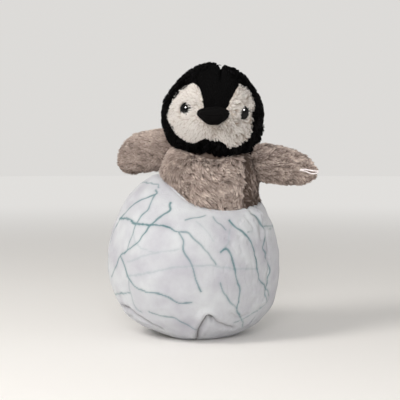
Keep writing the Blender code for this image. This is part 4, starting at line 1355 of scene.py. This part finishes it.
def build_tag():
    """A narrow loop of twisted satin cord, stitched near the tip of one flipper."""
    turn = full_turn(TAG_STEPS)
    along = (1 - np.cos(turn)) / 2
    apart = np.sin(turn) * (0.35 + 0.65 * along)
    path = np.stack((
        TAG_START + (TAG_END - TAG_START) * along,
        -0.9 * MM + 0.5 * MM * np.sin(5 * along + 0.6),
        TAG_HALF_WIDTH * apart + 0.35 * MM * np.sin(7 * along),
    ), -1)
    heading = unit(np.roll(path, -1, axis=0) - np.roll(path, 1, axis=0))
    side = unit(np.cross(heading, (0, 1, 0)))
    other = np.cross(heading, side)
    thickness = TAG_RADIUS * (1 + 0.16 * np.cos(3 * full_turn(TAG_CORNERS)))    # three strands
    corner = around(full_turn(TAG_CORNERS) + turn[:, None] * TAG_TWISTS) * thickness[:, None]
    rings = path[:, None] + side[:, None] * corner[..., :1] + other[:, None] * corner[..., 1:2]
    place = Place(JOINTS["tag_flop"]["pos_m"], WINGS["left"].axes[0], UP)
    quads = grid_quads(TAG_STEPS + 1, TAG_CORNERS) % (TAG_STEPS * TAG_CORNERS)
    mesh = new_mesh("tag_cord", place.out(rings.reshape(-1, 3)), quads)
    add_piece(mesh, SATIN, "cord", "tag", "tag_loop")


# ---- stage -----------------------------------------------------------------------------
VIEW_ANGLE = radians(18)
TO_RIGHT = np.array((cos(VIEW_ANGLE), sin(VIEW_ANGLE), 0))
TO_CAMERA = np.array((sin(VIEW_ANGLE), -cos(VIEW_ANGLE), 0))


def aim(ob, place, target):
    ob.location = place
    ob.rotation_euler = Vector(np.asarray(target) - place).to_track_quat("-Z", "Y").to_euler()
    bpy.context.scene.collection.objects.link(ob)


CAMERA_LENS = 103.05
CAMERA_DISTANCE, CAMERA_HEIGHT = 0.75, 0.130
TARGET_RIGHT, TARGET_HEIGHT = 0.0039, 0.088
LAMP_TARGET = np.array((0.005, 0, 0.09))
# name, metres towards the camera, to the right and up, size, watts, colour
LAMPS = (
    ("key", (0.45, -0.65, 0.70), 0.40, 5.0, (255, 251, 246)),
    ("front", (0.95, -0.04, 0.42), 0.3, 3.2, (255, 252, 250)),
    ("glint_left", (0.60, -0.78, 0.45), 0.19, 20, (255, 253, 251)),
    ("glint_right", (0.60, 0.88, 0.45), 0.19, 20, (255, 253, 251)),
)
AMBIENT, BACKDROP = 0.50, 0.74
STUDIO_WHITE = (252, 250, 247)
FLOOR_RADIUS = 3.0
FLOOR_FADE = (0.25, 1.5)        # metres from the toy over which the floor fades to the backdrop


def on_stage(forwards, sideways, up):
    """A place given as metres towards the camera, to the camera's right, and up."""
    return TO_CAMERA * forwards + TO_RIGHT * sideways + np.array((0, 0, up))


def add_camera():
    data = bpy.data.cameras.new("camera")
    data.lens = CAMERA_LENS
    camera = bpy.data.objects.new("camera", data)
    place = on_stage(CAMERA_DISTANCE, 0, CAMERA_HEIGHT)
    aim(camera, place, on_stage(0, TARGET_RIGHT, TARGET_HEIGHT))
    bpy.context.scene.camera = camera


def add_lamp(name, place, size, power, tint):
    """A round lamp; a glint lamp is only seen mirrored, and the others only light surfaces."""
    data = bpy.data.lights.new(name, "AREA")
    data.shape = "DISK"
    data.size = size
    data.energy = power
    data.color = linear(tint)[:3]
    lamp = bpy.data.objects.new(name, data)
    lamp.visible_glossy = name.startswith("glint")
    lamp.visible_diffuse = not lamp.visible_glossy
    aim(lamp, on_stage(*place), LAMP_TARGET)


def build_stage():
    scene = bpy.context.scene
    scene.view_settings.view_transform = "Standard"
    world = bpy.data.worlds.new("studio")
    world.use_nodes = True
    scene.world = world
    background = world.node_tree.nodes["Background"]
    background.inputs["Color"].default_value = linear(STUDIO_WHITE)
    paths = world.node_tree.nodes.new("ShaderNodeLightPath")
    strength = world.node_tree.nodes.new("ShaderNodeMapRange")
    strength.inputs["To Min"].default_value = AMBIENT
    strength.inputs["To Max"].default_value = BACKDROP
    world.node_tree.links.new(paths.outputs["Is Camera Ray"], strength.inputs["Value"])
    world.node_tree.links.new(strength.outputs["Result"], background.inputs["Strength"])
    for lamp in LAMPS:
        add_lamp(*lamp)

    points = np.concatenate((around(full_turn(64)) * FLOOR_RADIUS, np.zeros((1, 3))))
    here = np.arange(64)
    fan = np.stack((here, (here + 1) % 64, np.full(64, 64)), -1)
    floor = bpy.data.objects.new("floor", new_mesh("floor", points, (), fan))
    scene.collection.objects.link(floor)
    nodes, _, paper = two_tone("floor", (242, 240, 237), (247, 246, 244), 0.4)
    reach = nodes.add("ShaderNodeVectorMath", "Value", {0: nodes.place()}, operation="LENGTH")
    near, far = FLOOR_FADE
    fade = nodes.add(
        "ShaderNodeMapRange", "Result", {"Value": reach, "From Min": near, "From Max": far},
        interpolation_type="SMOOTHSTEP",
    )
    glow = nodes.math("MULTIPLY", fade, BACKDROP)
    nodes.feed(nodes.shader, {"Emission Color": linear(STUDIO_WHITE), "Emission Strength": glow})
    floor.data.materials.append(nodes.finish(nodes.mix(fade, paper, (0, 0, 0, 1)), 0.8))


build_shell()
build_torso()
build_neck()
build_head()
build_eyes()
build_beak()
for word in WINGS:
    build_wing(word)
build_tag()
build_stage()
add_camera()
